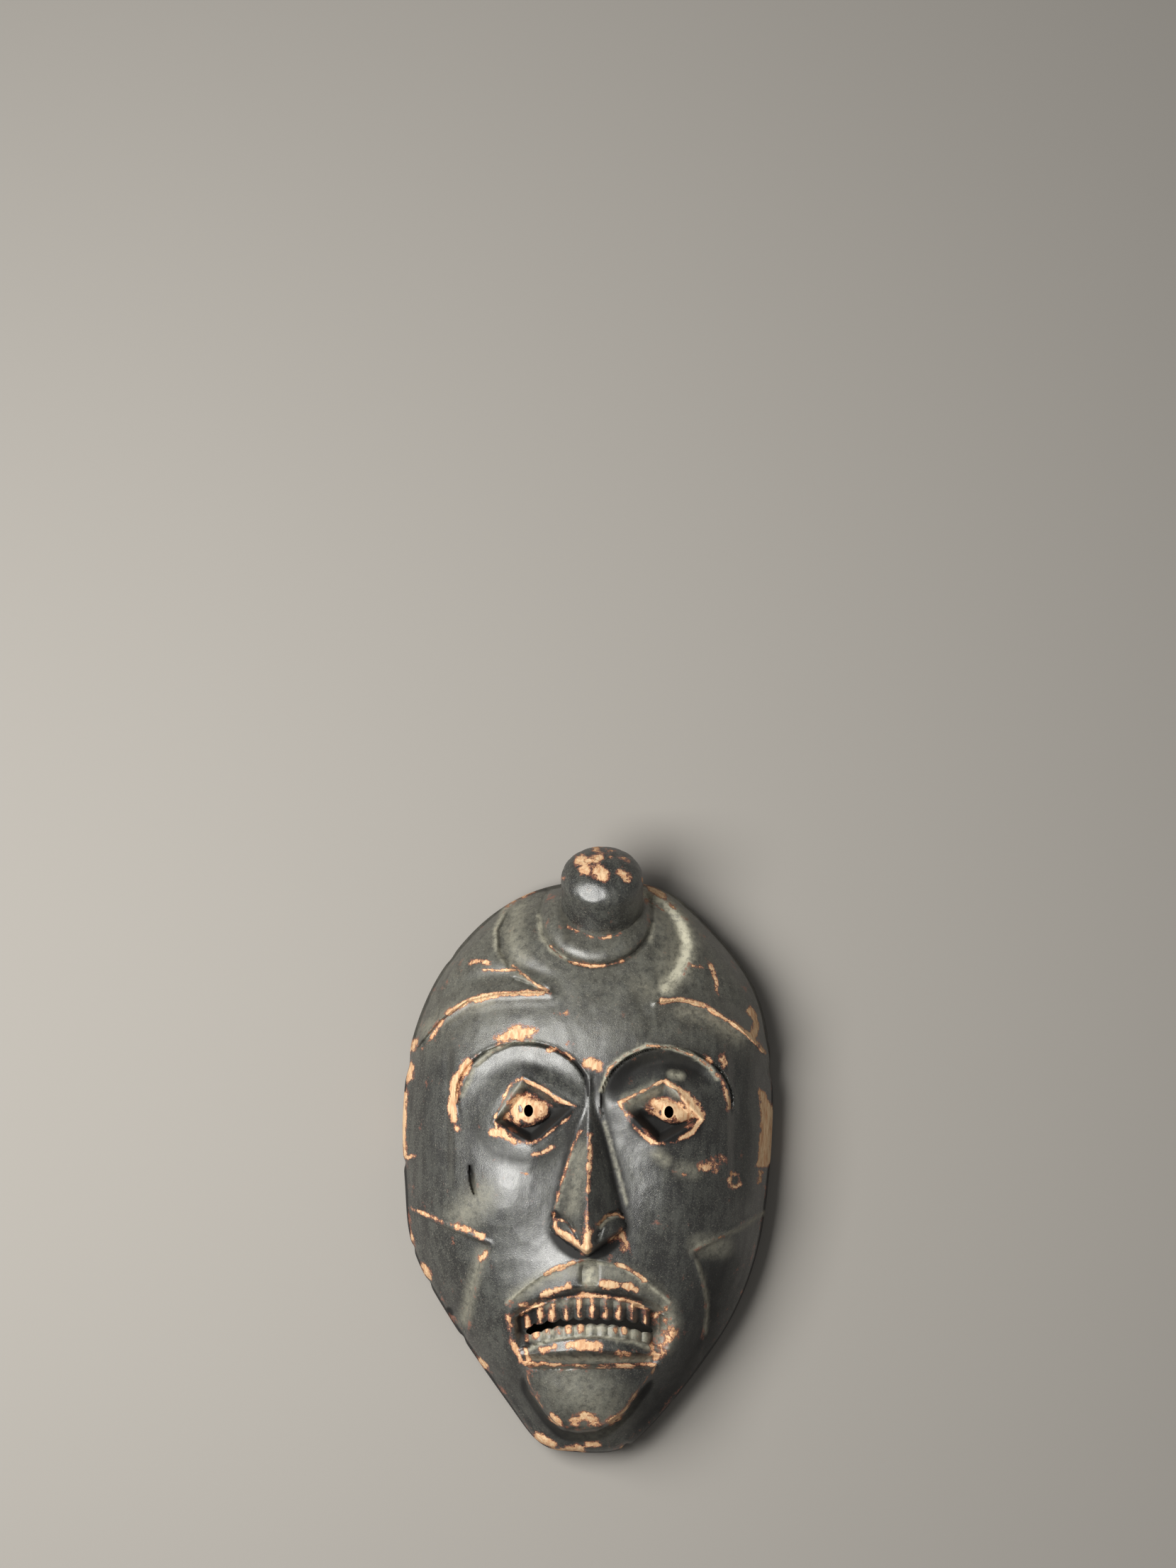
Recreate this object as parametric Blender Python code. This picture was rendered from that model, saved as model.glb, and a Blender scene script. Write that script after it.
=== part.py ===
"""A carved wooden face mask that lies face up on its flat back rim.

Frame: metres, X to the viewer's right, Y to the crown, Z out of the face. The origin is under the
middle of the mask, on the plane that the back rim rests on.

The carving is drawn in shares of the whole mask: one drawing unit is a millimetre of a mask that is
300 long, 184 wide and 93 deep. The named sizes below stretch that drawing to the real mask. Walls,
the rim, the drilled pupils and the gap between the teeth have real sizes of their own.
"""

import math

import bmesh
import bpy
import numpy as np
from mathutils import Matrix, Vector

# Overall sizes, in metres
LENGTH = 0.300
WIDTH = 0.184
DEPTH = 0.093

# Walls and openings, in metres
RIM_WIDTH = 0.010
RIM_CHAMFER = 0.0015
FACE_WALL = 0.013
PUPIL_BORE = 0.0046
PUPIL_HEIGHT = 0.0060
TEETH_GAP = 0.0022
CORNER_GAP = 0.0052

# Fineness of the mesh
COLUMNS = 176
ROWS = 272
INNER_RINGS = 18
TRIANGLES = 8600

# The drawing, in drawing units
DRAWN_LENGTH = 300.0
DRAWN_WIDTH = 184.0
DRAWN_DEPTH = 92.83
SIDE_HEIGHT = 15.0
DOME_HEIGHT = 56.0
MIDDLE = (0.0, -6.0)

RIM_OUTLINE = (
    (-8, -149.5), (15, -148.7), (31, -137), (55, -108), (74, -78), (86, -42), (91.4, 8),
    (90.5, 50), (80, 86), (52, 119), (28, 132), (-14, 132), (-46, 118), (-72, 90),
    (-87, 56), (-91.8, 20), (-91, -15), (-87, -48), (-70, -81), (-40, -125), (-24, -145),
)
LEFT_LOCK = (
    (-18.7, 77.4), (-30, 77.4), (-45, 76.8), (-59.5, 73.5), (-73, 64), (-88, 47), (-120, 20),
    (-120, 160), (-28, 160), (-30, 127), (-39, 120), (-44.5, 109), (-44, 98), (-39, 90.5), (-29, 85.5),
)
RIGHT_LOCK = (
    (33.4, 72.5), (46, 73.8), (58, 71), (71, 63), (88, 47), (120, 20), (120, 160), (26, 160),
    (27, 129), (37, 124.5), (46, 113), (49.5, 102), (48, 93), (43, 84),
)
LEFT_JAW = (
    (-49, -46.5), (-66, -40), (-88, -30), (-120, -12), (-120, -140), (-66, -110), (-60.5, -92),
    (-59, -79), (-56.5, -67), (-53, -55.5),
)
RIGHT_JAW = (
    (52.7, -50.5), (68, -42), (88, -30), (120, -12), (120, -140), (60, -116), (56.5, -100),
    (58.6, -88), (59, -78), (58, -67), (55.5, -58),
)
LEFT_EYE_FRAME = ((-46.4, 14.0), (-31.3, 35.7), (-6.8, 21.4), (-27.5, 3.2))
RIGHT_EYE_FRAME = ((15.6, 22.8), (38.0, 34.7), (56.2, 15.1), (34.5, 3.2))
CHIN_PLATE = (
    (-31.5, -105.5), (33.5, -106), (29.5, -112), (23.5, -119.5), (17.5, -129), (10, -135), (4, -138),
    (-5, -139), (-12.5, -137.4), (-16.6, -134), (-22, -127.4), (-28, -118), (-30.5, -110),
)

LEFT_PUPIL = (-29.2, 19.4)
RIGHT_PUPIL = (39.8, 18.8)
BITE_ENDS = (-30.5, 32.0)
UPPER_TOOTH = 6.5
LOWER_TOOTH = 5.5
COLLAR = (4.2, 116.0)
COLLAR_HALF_WIDTH = 27.0
COLLAR_HALF_HEIGHT = 24.5
COLLAR_ROUND = 9.0
COLLAR_RISE = 6.6
TOPKNOT_FOOT = (7.0, 110.8, 31.1)
TOPKNOT_RADIUS = 20.3
TOPKNOT_POST = 32.4
TOPKNOT_END = 10.2
TOPKNOT_LEAN = 46.0
FLAT_PLACE = (-5.3, -15.4, 6.1)
FLAT_NORMAL = (-0.20, -0.60, 0.77)
FLAT_DEPTH = 1.1

BLACKENED_WOOD = "#343433"
SHARP_ANGLE = 38.0


def smooth(share):
    """Ease from 0 to 1."""
    share = np.clip(share, 0.0, 1.0)
    return share * share * (3.0 - 2.0 * share)


def step_at(distance, width):
    """0 outside an edge and 1 inside it, over the given width."""
    return smooth(distance / width + 0.5)


def swell(x, y, middle, half_width, half_height):
    """A soft round bulge, 1 at its middle."""
    return np.exp(-((x - middle[0]) / half_width) ** 2 - ((y - middle[1]) / half_height) ** 2)


def path_distance(x, y, points):
    """Distance from each place to a line through the points."""
    nearest = np.full(np.shape(x), np.inf)
    for (ax, ay), (bx, by) in zip(points[:-1], points[1:]):
        run_x, run_y = bx - ax, by - ay
        along = ((x - ax) * run_x + (y - ay) * run_y) / (run_x**2 + run_y**2)
        along = np.clip(along, 0.0, 1.0)
        nearest = np.minimum(nearest, np.hypot(x - ax - along * run_x, y - ay - along * run_y))
    return nearest


def inside_distance(x, y, corners):
    """Distance to a closed outline, more than 0 inside it and less than 0 outside."""
    closed = tuple(corners) + (corners[0],)
    inside = np.zeros(np.shape(x), bool)
    for (ax, ay), (bx, by) in zip(closed[:-1], closed[1:]):
        if ay != by:
            crosses = (ay > y) != (by > y)
            inside ^= crosses & (x < ax + (y - ay) * (bx - ax) / (by - ay))
    return np.where(inside, 1.0, -1.0) * path_distance(x, y, closed)


def groove(x, y, points, depth, width):
    """A cut with a rounded bottom along a line."""
    return -depth * np.exp(-((path_distance(x, y, points) / (0.5 * width)) ** 2))


def rim_radius(angles):
    """The rim's distance from the middle, on a smooth closed curve through RIM_OUTLINE."""
    points = np.array(RIM_OUTLINE, float)
    before, after, beyond = (np.roll(points, shift, axis=0) for shift in (1, -1, -2))
    curve = []
    for t in np.linspace(0.0, 1.0, 24, endpoint=False):
        curve.append(
            0.5 * (2 * points + (after - before) * t + (2 * before - 5 * points + 4 * after - beyond) * t**2
                   + (3 * points - before - 3 * after + beyond) * t**3)
        )
    curve = np.array(curve).reshape(-1, 2) - MIDDLE
    turn = np.arctan2(curve[:, 1], curve[:, 0])
    order = np.argsort(turn)
    return np.interp(angles, turn[order], np.hypot(curve[order, 0], curve[order, 1]), period=2 * math.pi)


def dome(share):
    """Height of the plain block over the side wall, from 1 at the middle to 0 at the rim."""
    return (1.0 - np.clip(share, 0.0, 1.0) ** 2.4) ** 0.6


def swells(x, y):
    """Broad forms: the forehead, the cheeks and the muzzle."""
    lift = 3.0 * swell(x, y, (4, 62), 52, 22)
    lift += 4.0 * swell(x, y, (-42, -20), 20, 22) + 4.0 * swell(x, y, (46, -20), 20, 22)
    lift += 7.0 * swell(x, y, (1, -82), 40, 30)
    return lift


def locks(x, y):
    """The two leaf-shaped locks of the cap, each with a sharp lower ridge and a trough behind it."""
    lift = np.zeros_like(x)
    for outline, ridge_points, softness in ((LEFT_LOCK, 6, 3.0), (RIGHT_LOCK, 5, 6.0)):
        depth_in = inside_distance(x, y, outline)
        from_ridge = path_distance(x, y, outline[:ridge_points])
        width = np.where(from_ridge < 6.0, 2.0, softness)
        lift += 3.2 * step_at(depth_in, width)
        lift -= 1.8 * np.exp(-(((depth_in + 3.5) / 4.0) ** 2)) * smooth((from_ridge - 4.0) / 8.0)
        lift += 1.2 * np.exp(-((from_ridge / 2.2) ** 2))
        lift -= 2.2 * step_at(depth_in, 2.0) * np.exp(-(((from_ridge - 9.0) / 5.0) ** 2))
    return lift + groove(x, y, ((-36, 84), (-20, 78.3)), 2.2, 2.6)


def temples(x, y):
    """Flat cuts down both sides of the face, level with the eyes."""
    beyond = np.abs(x - 1.5) - 69.0
    level = smooth((y + 22.0) / 16.0) * smooth((56.0 - y) / 16.0)
    return -2.6 * step_at(beyond, 5.0) * level


def sockets(x, y):
    """The round eye sockets: a fine cut along the brow, and a hollow under it."""
    cut = np.zeros_like(x)
    for middle_x, middle_y, half_width, rise, depth in ((-32, 27, 32.5, 25.5, 2.8), (39, 24, 32, 26.4, 5.2)):
        height = np.where(y > middle_y, rise, 33.0)
        share = np.hypot((x - middle_x) / half_width, (y - middle_y) / height)
        to_edge = (1.0 - share) * half_width
        above = smooth((y - middle_y + 12.0) / 16.0)
        cut -= 1.5 * np.exp(-((to_edge / 1.2) ** 2)) * above
        cut -= depth * step_at(to_edge - 0.6 * depth, 1.4 * depth) * smooth((y - middle_y + 2.0) / 22.0)
    return cut


def eyes(x, y):
    """Diamond frames on a low mound, sunk inside, with an almond eyeball in each."""
    lift = np.zeros_like(x)
    both = (
        (LEFT_EYE_FRAME, (-29.6, 19.6), 12.2, 8.2, 0.06), (RIGHT_EYE_FRAME, (41.5, 19.4), 11.6, 6.6, -0.16),
    )
    for corners, middle, half_width, half_height, lean in both:
        depth_in = inside_distance(x, y, corners)
        lift += 4.2 * np.exp(-((np.minimum(depth_in, 0.0) / 10.0) ** 2))
        across = (x - middle[0]) / half_width
        up = (y - middle[1] - lean * (x - middle[0])) / half_height
        below = smooth((middle[1] + 1.0 - y) / 5.0)
        floor = (5.6 + 3.6 * below) * smooth((depth_in + 0.3) / (6.4 - 1.6 * below))
        reach = (np.abs(across) ** 1.7 + np.abs(up) ** 1.7) ** (1.0 / 1.7)
        ball = np.where(reach < 1.0, 8.6 - 6.4 * np.sqrt(np.clip(1.0 - reach**2, 0.0, 1.0)), 99.0)
        lift -= np.minimum(floor, ball)
    inner_corner = path_distance(x, y, ((15.6, 23.2), (32.0, 20.6)))
    return lift + 2.0 * np.exp(-((inner_corner / 1.6) ** 2)) * smooth((x - 15.0) / 4.0)


def nose_height(x, y):
    """Height of the wedge nose over the plain block; it is under the face where there is no nose."""
    along = np.clip((46.0 - y) / 96.0, 0.0, 1.0)
    ridge_x = 1.0 - 1.5 * along
    ridge = 1.0 + 24.0 * along**1.3
    side = np.abs(x - ridge_x)
    roof = ridge - 1.06 * side - 0.4 * np.exp(-((side / 1.4) ** 2))
    lower_edge = -49.7 + 0.63 * side
    over_lip = smooth((y - lower_edge + 5.0) / 6.0)
    return (roof + 8.0) * over_lip - 8.0


def nostrils(x, y):
    """The rounded wings beside the tip, each set off by a curved cut."""
    cut = groove(x, y, ((-17.5, -31), (-10.5, -33.5), (-6.8, -38.6), (-4.3, -44)), 2.0, 2.4)
    cut += groove(x, y, ((4.4, -43.5), (6.4, -36.5), (11.5, -31.3), (17.5, -31.0)), 3.0, 2.8)
    return cut + 3.6 * swell(x, y, (14.0, -37.5), 6.4, 4.6) + 1.8 * swell(x, y, (-12.5, -38.0), 5.0, 3.6)


def jaws(x, y):
    """The two jaw planes, sunk behind the cheeks and the muzzle."""
    cut = np.zeros_like(x)
    for outline in (LEFT_JAW, RIGHT_JAW):
        cut -= 2.6 * step_at(inside_distance(x, y, outline), 1.8)
    return cut


def mouth_rows(x):
    """Heights in Y of the lines across the mouth, from the upper lip's edge down to the chin plate."""
    off = np.clip(np.abs(x - 1.5) / 40.0, 0.0, 1.1)
    lip_edge = -54.5 - 20.0 * off**1.9
    lip_ridge = -66.5 - 13.5 * off**2
    gum = -71.0 - 12.0 * off**2
    bite = -84.3 - 8.5 * off**2.2
    lower_gum = -91.5 - 8.0 * off**2
    lower_ridge = -98.5 - 3.5 * off**2
    lower_edge = np.full_like(off, -103.5)
    return lip_edge, lip_ridge, gum, bite, lower_gum, lower_ridge, lower_edge


def teeth(x, pitch, first, depth):
    """Upright wedges side by side: 0 on each tooth's edge and the depth between two teeth."""
    share = ((x - first) / pitch) % 1.0
    return -depth * np.abs(2.0 * share - 1.0)


def mouth(x, y):
    """The open mouth: a sloping upper lip, bared teeth above and below the bite, and a lower lip."""
    lip_edge, lip_ridge, gum, bite, lower_gum, lower_ridge, lower_edge = mouth_rows(x)
    arch = ((x - 1.5) / 34.0) ** 2
    stops = (lip_edge, lip_ridge, gum, gum - 1.5, bite, lower_gum, lower_gum - 1.2, lower_ridge,
             lower_edge, lower_edge - 2.5)
    depths = (-0.8, -2.4, -7.2, -5.6, -7.0, -5.6, -6.6, -2.6, -6.6, -6.0)
    place = np.zeros_like(x)
    for upper, lower in zip(stops[:-1], stops[1:]):
        place += np.clip((upper - y) / (upper - lower), 0.0, 1.0)
    cut = np.interp(place, np.arange(len(depths)), depths) * step_at(lip_edge - y, 1.6)
    at_teeth = step_at(gum - 1.2 - y, 1.5) * step_at(y - lower_gum, 1.5)
    cut -= 3.4 * arch * at_teeth
    upper_row = step_at(gum - 1.0 - y, 1.5) * step_at(y - bite, 1.0)
    lower_row = step_at(bite - y, 1.0) * step_at(y - lower_gum, 1.4)
    cut += upper_row * teeth(x, UPPER_TOOTH, -0.6, 3.0) + lower_row * teeth(x, LOWER_TOOTH, -1.0, 1.7)
    left_wall = np.interp(y, (-106, -100, -82, -73), (-33.5, -36.5, -41.0, -40.0))
    right_wall = np.interp(y, (-106, -97, -82, -73), (36.5, 41.5, 44.5, 43.0))
    wide = 7.0 + 3.0 * smooth((-72.0 - y) / 10.0)
    across = smooth((x - left_wall) / wide) * smooth((right_wall - x) / wide)
    philtrum = 2.0 * step_at(4.2 - np.abs(x - 0.6), 1.8) * step_at(y + 65.5, 2.0) * step_at(-54.5 - y, 1.8)
    above_chin = step_at(y + 107.0, 1.4)
    return (cut - philtrum) * across * above_chin


def chin(x, y):
    """The shield-shaped chin plate, proud of the chin."""
    depth_in = inside_distance(x, y, CHIN_PLATE)
    below_mouth = smooth((-104.0 - y) / 36.0)
    beside = 4.4 * step_at(-1.4 - depth_in, 2.8) * smooth((-104.0 - y) / 16.0)
    return (4.6 + 6.4 * below_mouth) * step_at(depth_in, 2.0) + 1.2 * smooth(depth_in / 16.0) - beside


def collar(x, y):
    """The round collar at the foot of the topknot."""
    share = np.hypot((x - COLLAR[0]) / COLLAR_HALF_WIDTH, (y - COLLAR[1]) / COLLAR_HALF_HEIGHT)
    to_edge = (1.0 - share) * COLLAR_HALF_WIDTH
    rounded = np.clip(to_edge / COLLAR_ROUND, 0.0, 1.0)
    undercut = 0.9 * np.exp(-(((to_edge + 1.0) / 1.1) ** 2))
    return COLLAR_RISE * np.sqrt(1.0 - (1.0 - rounded) ** 2) - undercut


def damage(x, y):
    """A drying crack in the cheek, a small hole by the jaw and a nick in the chin."""
    cut = groove(x, y, ((-58.2, -8), (-57.6, -15), (-56.2, -21)), 3.0, 1.9)
    return cut + groove(x, y, ((-69, -79.5), (-68.6, -80.5)), 2.5, 3.0)


def face_height(x, y, share):
    """Height of the carved face in drawing units, from places and their share of the way to the rim."""
    block = SIDE_HEIGHT + DOME_HEIGHT * dome(share)
    relief = swells(x, y) + locks(x, y) + temples(x, y) + sockets(x, y) + eyes(x, y)
    relief += jaws(x, y) + mouth(x, y) + chin(x, y) + collar(x, y) + damage(x, y)
    nose = nose_height(x, y)
    relief = np.where(nose > relief, nose + nostrils(x, y), relief)
    fade = smooth((1.0 - share) / 0.05)
    return block + relief * fade


def to_metres(x, y, z):
    """Places in drawing units to the real mask."""
    return np.stack(
        (x * WIDTH / DRAWN_WIDTH, y * LENGTH / DRAWN_LENGTH, z * DEPTH / DRAWN_DEPTH), axis=-1
    )


def grid_places():
    """An even grid of columns and rows, rounded to a disc: turn and share of the way to the rim."""
    across, up = np.meshgrid(np.linspace(-1.0, 1.0, COLUMNS + 1), np.linspace(-1.0, 1.0, ROWS + 1))
    disc_x = across * np.sqrt(1.0 - 0.5 * up**2)
    disc_y = up * np.sqrt(1.0 - 0.5 * across**2)
    reach = np.minimum(np.hypot(disc_x, disc_y), 1.0)
    return np.arctan2(disc_y, disc_x).ravel(), (reach + 0.5 * (1.0 - reach) * reach**3).ravel()


def grid_border():
    """The grid's outer places in order, anticlockwise from its lower left corner."""
    width = COLUMNS + 1
    bottom = [column for column in range(COLUMNS)]
    right = [row * width + COLUMNS for row in range(ROWS)]
    top = [ROWS * width + column for column in range(COLUMNS, 0, -1)]
    left = [row * width for row in range(ROWS, 0, -1)]
    return bottom + right + top + left


def side_and_hollow(edge, angles):
    """Loops from the face's edge down the side, under the flat rim and up the hollow."""
    outward = np.stack((np.cos(angles), np.sin(angles), np.zeros_like(angles)), axis=-1)
    above_chamfer = edge.copy()
    above_chamfer[:, 2] = RIM_CHAMFER
    foot = edge - outward * RIM_CHAMFER
    foot[:, 2] = 0.0
    middle = to_metres(np.array(MIDDLE[0]), np.array(MIDDLE[1]), np.array(0.0))
    opening = foot - outward * (RIM_WIDTH - RIM_CHAMFER) - middle
    roof = (SIDE_HEIGHT + DOME_HEIGHT) * DEPTH / DRAWN_DEPTH - FACE_WALL
    loops = [above_chamfer, foot]
    for step in range(INNER_RINGS):
        share = math.cos(0.5 * math.pi * step / INNER_RINGS)
        loop = middle + opening * share
        loop[:, 2] = roof * dome(np.array(share))
        loops.append(loop)
    return loops, middle + np.array((0.0, 0.0, roof))


def carved_shell():
    """The hollow mask without its topknot and openings."""
    angles, share = grid_places()
    radius = rim_radius(angles)
    x = MIDDLE[0] + share * radius * np.cos(angles)
    y = MIDDLE[1] + share * radius * np.sin(angles)
    face = to_metres(x, y, face_height(x, y, share))
    border = grid_border()
    loops, roof = side_and_hollow(face[border], angles[border])
    width = COLUMNS + 1
    faces = [
        (at, at + 1, at + width + 1, at + width)
        for at in (row * width + column for row in range(ROWS) for column in range(COLUMNS))
    ]
    upper = np.array(border)
    for number in range(len(loops)):
        lower = len(face) + number * len(border) + np.arange(len(border))
        faces += list(zip(upper, lower, np.roll(lower, -1), np.roll(upper, -1)))
        upper = lower
    apex = len(face) + len(loops) * len(border)
    faces += [(here, apex, after) for here, after in zip(upper, np.roll(upper, -1))]
    mesh = bpy.data.meshes.new("mask")
    mesh.from_pydata(np.concatenate([face, *loops, roof[None, :]]).tolist(), [],
                     [tuple(int(corner) for corner in corners) for corners in faces])
    shape = bpy.data.objects.new("mask", mesh)
    bpy.context.collection.objects.link(shape)
    return shape


def cutter(name, mesh_data):
    """A hidden object that a Boolean reads."""
    mesh = bpy.data.meshes.new(name)
    mesh_data.to_mesh(mesh)
    mesh_data.free()
    shape = bpy.data.objects.new(name, mesh)
    bpy.context.collection.objects.link(shape)
    return shape


def topknot():
    """A stubby post with a low round end and one knife-cut flat, leaning to the crown."""
    radius = TOPKNOT_RADIUS * WIDTH / DRAWN_WIDTH
    foot = Vector(to_metres(*(np.array(part) for part in TOPKNOT_FOOT)))
    post_length = TOPKNOT_POST * LENGTH / DRAWN_LENGTH
    end_length = TOPKNOT_END * LENGTH / DRAWN_LENGTH
    profile = [(0.0, 0.0), (radius, 0.0)]
    steps = 8
    for step in range(steps):
        angle = 0.5 * math.pi * step / steps
        profile.append((radius * math.cos(angle), post_length + end_length * math.sin(angle)))
    profile.append((0.0, post_length + end_length))
    post = bmesh.new()
    verts = [post.verts.new((across, 0.0, up)) for across, up in profile]
    edges = [post.edges.new(pair) for pair in zip(verts[:-1], verts[1:])]
    bmesh.ops.spin(
        post, geom=verts + edges, axis=(0, 0, 1), cent=(0, 0, 0), steps=28, angle=2.0 * math.pi,
        use_merge=True, use_duplicate=False,
    )
    bmesh.ops.remove_doubles(post, verts=post.verts, dist=1e-6)
    flat_normal = Vector(FLAT_NORMAL).normalized()
    flat_place = Vector(to_metres(*(np.array(part) for part in FLAT_PLACE)))
    flat_place += Vector((0.0, 0.0, post_length)) - flat_normal * FLAT_DEPTH * LENGTH / DRAWN_LENGTH
    cut = bmesh.ops.bisect_plane(
        post, geom=post.verts[:] + post.edges[:] + post.faces[:], plane_co=flat_place,
        plane_no=flat_normal, clear_outer=True,
    )
    rim = [part for part in cut["geom_cut"] if isinstance(part, bmesh.types.BMEdge)]
    bmesh.ops.holes_fill(post, edges=rim, sides=0)
    bmesh.ops.recalc_face_normals(post, faces=post.faces)
    lean = Matrix.Translation(foot) @ Matrix.Rotation(math.radians(-TOPKNOT_LEAN), 4, "X")
    bmesh.ops.transform(post, matrix=lean, verts=post.verts)
    return cutter("topknot", post)


def pupil(name, place):
    """A drilled pupil, a little taller than wide, right through the wall."""
    hole = bmesh.new()
    bmesh.ops.create_cone(
        hole, cap_ends=True, segments=16, radius1=0.5 * PUPIL_BORE, radius2=0.5 * PUPIL_BORE,
        depth=DEPTH,
    )
    stretch = Matrix.Diagonal((1.0, PUPIL_HEIGHT / PUPIL_BORE, 1.0, 1.0))
    spot = to_metres(np.array(place[0]), np.array(place[1]), np.array(0.0))
    bmesh.ops.transform(hole, matrix=Matrix.Translation(spot) @ stretch, verts=hole.verts)
    bmesh.ops.translate(hole, vec=(0.0, 0.0, 0.5 * DEPTH + RIM_CHAMFER), verts=hole.verts)
    return cutter(name, hole)


def bite_opening():
    """The open bite between the teeth, narrow in the middle and wider at both corners."""
    slot = bmesh.new()
    steps = 24
    top, bottom = [], []
    for step in range(steps + 1):
        share = step / steps
        x = np.array(BITE_ENDS[0] + (BITE_ENDS[1] - BITE_ENDS[0]) * share)
        bite = mouth_rows(x)[3]
        off = abs(2.0 * share - 1.0)
        gap = (TEETH_GAP + (CORNER_GAP - TEETH_GAP) * off**2.5) * math.sqrt(1.0 - 0.98 * off**10)
        middle = to_metres(x, bite, np.array(0.0))
        top.append(slot.verts.new((middle[0], middle[1] + 0.5 * gap, 0.0)))
        bottom.append(slot.verts.new((middle[0], middle[1] - 0.5 * gap, 0.0)))
    face = slot.faces.new(bottom + top[::-1])
    pushed = bmesh.ops.extrude_face_region(slot, geom=[face])
    raised = [part for part in pushed["geom"] if isinstance(part, bmesh.types.BMVert)]
    bmesh.ops.translate(slot, vec=(0.0, 0.0, DEPTH), verts=raised)
    bmesh.ops.translate(slot, vec=(0.0, 0.0, 2.0 * RIM_CHAMFER), verts=slot.verts)
    bmesh.ops.recalc_face_normals(slot, faces=slot.faces)
    return cutter("bite_opening", slot)


def carve(shape, tool, operation):
    """Join or cut one shape with another, and remove the tool."""
    step = shape.modifiers.new(tool.name, "BOOLEAN")
    step.operation = operation
    step.object = tool
    bake(shape)
    bpy.data.objects.remove(tool)


def bake(shape):
    """Replace an object's mesh by what its modifiers give."""
    finished = bpy.data.meshes.new_from_object(shape.evaluated_get(bpy.context.evaluated_depsgraph_get()))
    shape.modifiers.clear()
    shape.data = finished


def soften(shape):
    """Shade the round forms smooth and keep the knife-cut edges sharp."""
    for face in shape.data.polygons:
        face.use_smooth = True
    shape.data.set_sharp_from_angle(angle=math.radians(SHARP_ANGLE))


def lighten(shape):
    """Bring the carving down to few faces, and lay the rim exactly flat."""
    thin = shape.modifiers.new("fewer_faces", "DECIMATE")
    shape.data.calc_loop_triangles()
    thin.ratio = TRIANGLES / len(shape.data.loop_triangles)
    thin.use_collapse_triangulate = True
    bake(shape)
    for vertex in shape.data.vertices:
        if vertex.co.z < 0.5 * RIM_CHAMFER:
            vertex.co.z = 0.0


def wood(shape):
    """Blackened wood, rubbed to a low sheen."""
    def linear(value):
        return value / 12.92 if value <= 0.04045 else ((value + 0.055) / 1.055) ** 2.4

    colour = [linear(int(BLACKENED_WOOD[at:at + 2], 16) / 255.0) for at in (1, 3, 5)]
    finish = bpy.data.materials.new("blackened_wood")
    finish.use_nodes = True
    shader = finish.node_tree.nodes["Principled BSDF"]
    shader.inputs["Base Color"].default_value = (*colour, 1.0)
    shader.inputs["Roughness"].default_value = 0.45
    shader.inputs["Metallic"].default_value = 0.0
    shape.data.materials.clear()
    shape.data.materials.append(finish)


def main():
    """Build the mask in an empty scene."""
    for thing in list(bpy.data.objects):
        bpy.data.objects.remove(thing)
    mask = carved_shell()
    carve(mask, topknot(), "UNION")
    lighten(mask)
    carve(mask, pupil("left_pupil", LEFT_PUPIL), "DIFFERENCE")
    carve(mask, pupil("right_pupil", RIGHT_PUPIL), "DIFFERENCE")
    carve(mask, bite_opening(), "DIFFERENCE")
    soften(mask)
    wood(mask)


main()
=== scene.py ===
"""A carved wooden face mask, blackened and rubbed bare along its edges, lying on a pale floor.

Metres, X to the viewer's right, Y to the crown, Z out of the face. The carving is drawn in drawing
units: one is a millimetre of a mask that is 300 long, 184 wide and 93 deep.
"""

import math
from functools import partial

import bmesh
import bpy
import numpy as np
from mathutils import Euler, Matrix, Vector


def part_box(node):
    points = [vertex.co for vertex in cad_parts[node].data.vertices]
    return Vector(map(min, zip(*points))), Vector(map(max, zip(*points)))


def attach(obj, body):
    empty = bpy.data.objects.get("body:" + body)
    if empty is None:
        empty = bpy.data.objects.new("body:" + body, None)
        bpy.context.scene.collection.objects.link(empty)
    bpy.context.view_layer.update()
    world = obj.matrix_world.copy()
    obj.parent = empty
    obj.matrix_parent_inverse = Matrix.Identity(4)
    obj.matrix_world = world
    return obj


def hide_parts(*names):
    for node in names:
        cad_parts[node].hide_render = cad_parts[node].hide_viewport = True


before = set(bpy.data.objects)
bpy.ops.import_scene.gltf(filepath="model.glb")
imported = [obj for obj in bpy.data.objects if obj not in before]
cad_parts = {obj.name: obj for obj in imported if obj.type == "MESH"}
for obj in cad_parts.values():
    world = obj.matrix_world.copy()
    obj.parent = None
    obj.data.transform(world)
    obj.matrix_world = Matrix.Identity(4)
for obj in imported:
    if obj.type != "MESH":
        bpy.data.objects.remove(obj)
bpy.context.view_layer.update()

bl_info = {
    "name": "Carved mask",
    "version": (1, 0, 0),
    "blender": (4, 5, 0),
    "location": "3D View > Sidebar > Mask",
    "description": "Makes a carved, blackened wooden face mask and the plain stage that it lies on",
    "category": "Add Mesh",
}

MASK_LOW, MASK_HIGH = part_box("mask")
MASK_SIZE = MASK_HIGH - MASK_LOW

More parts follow.
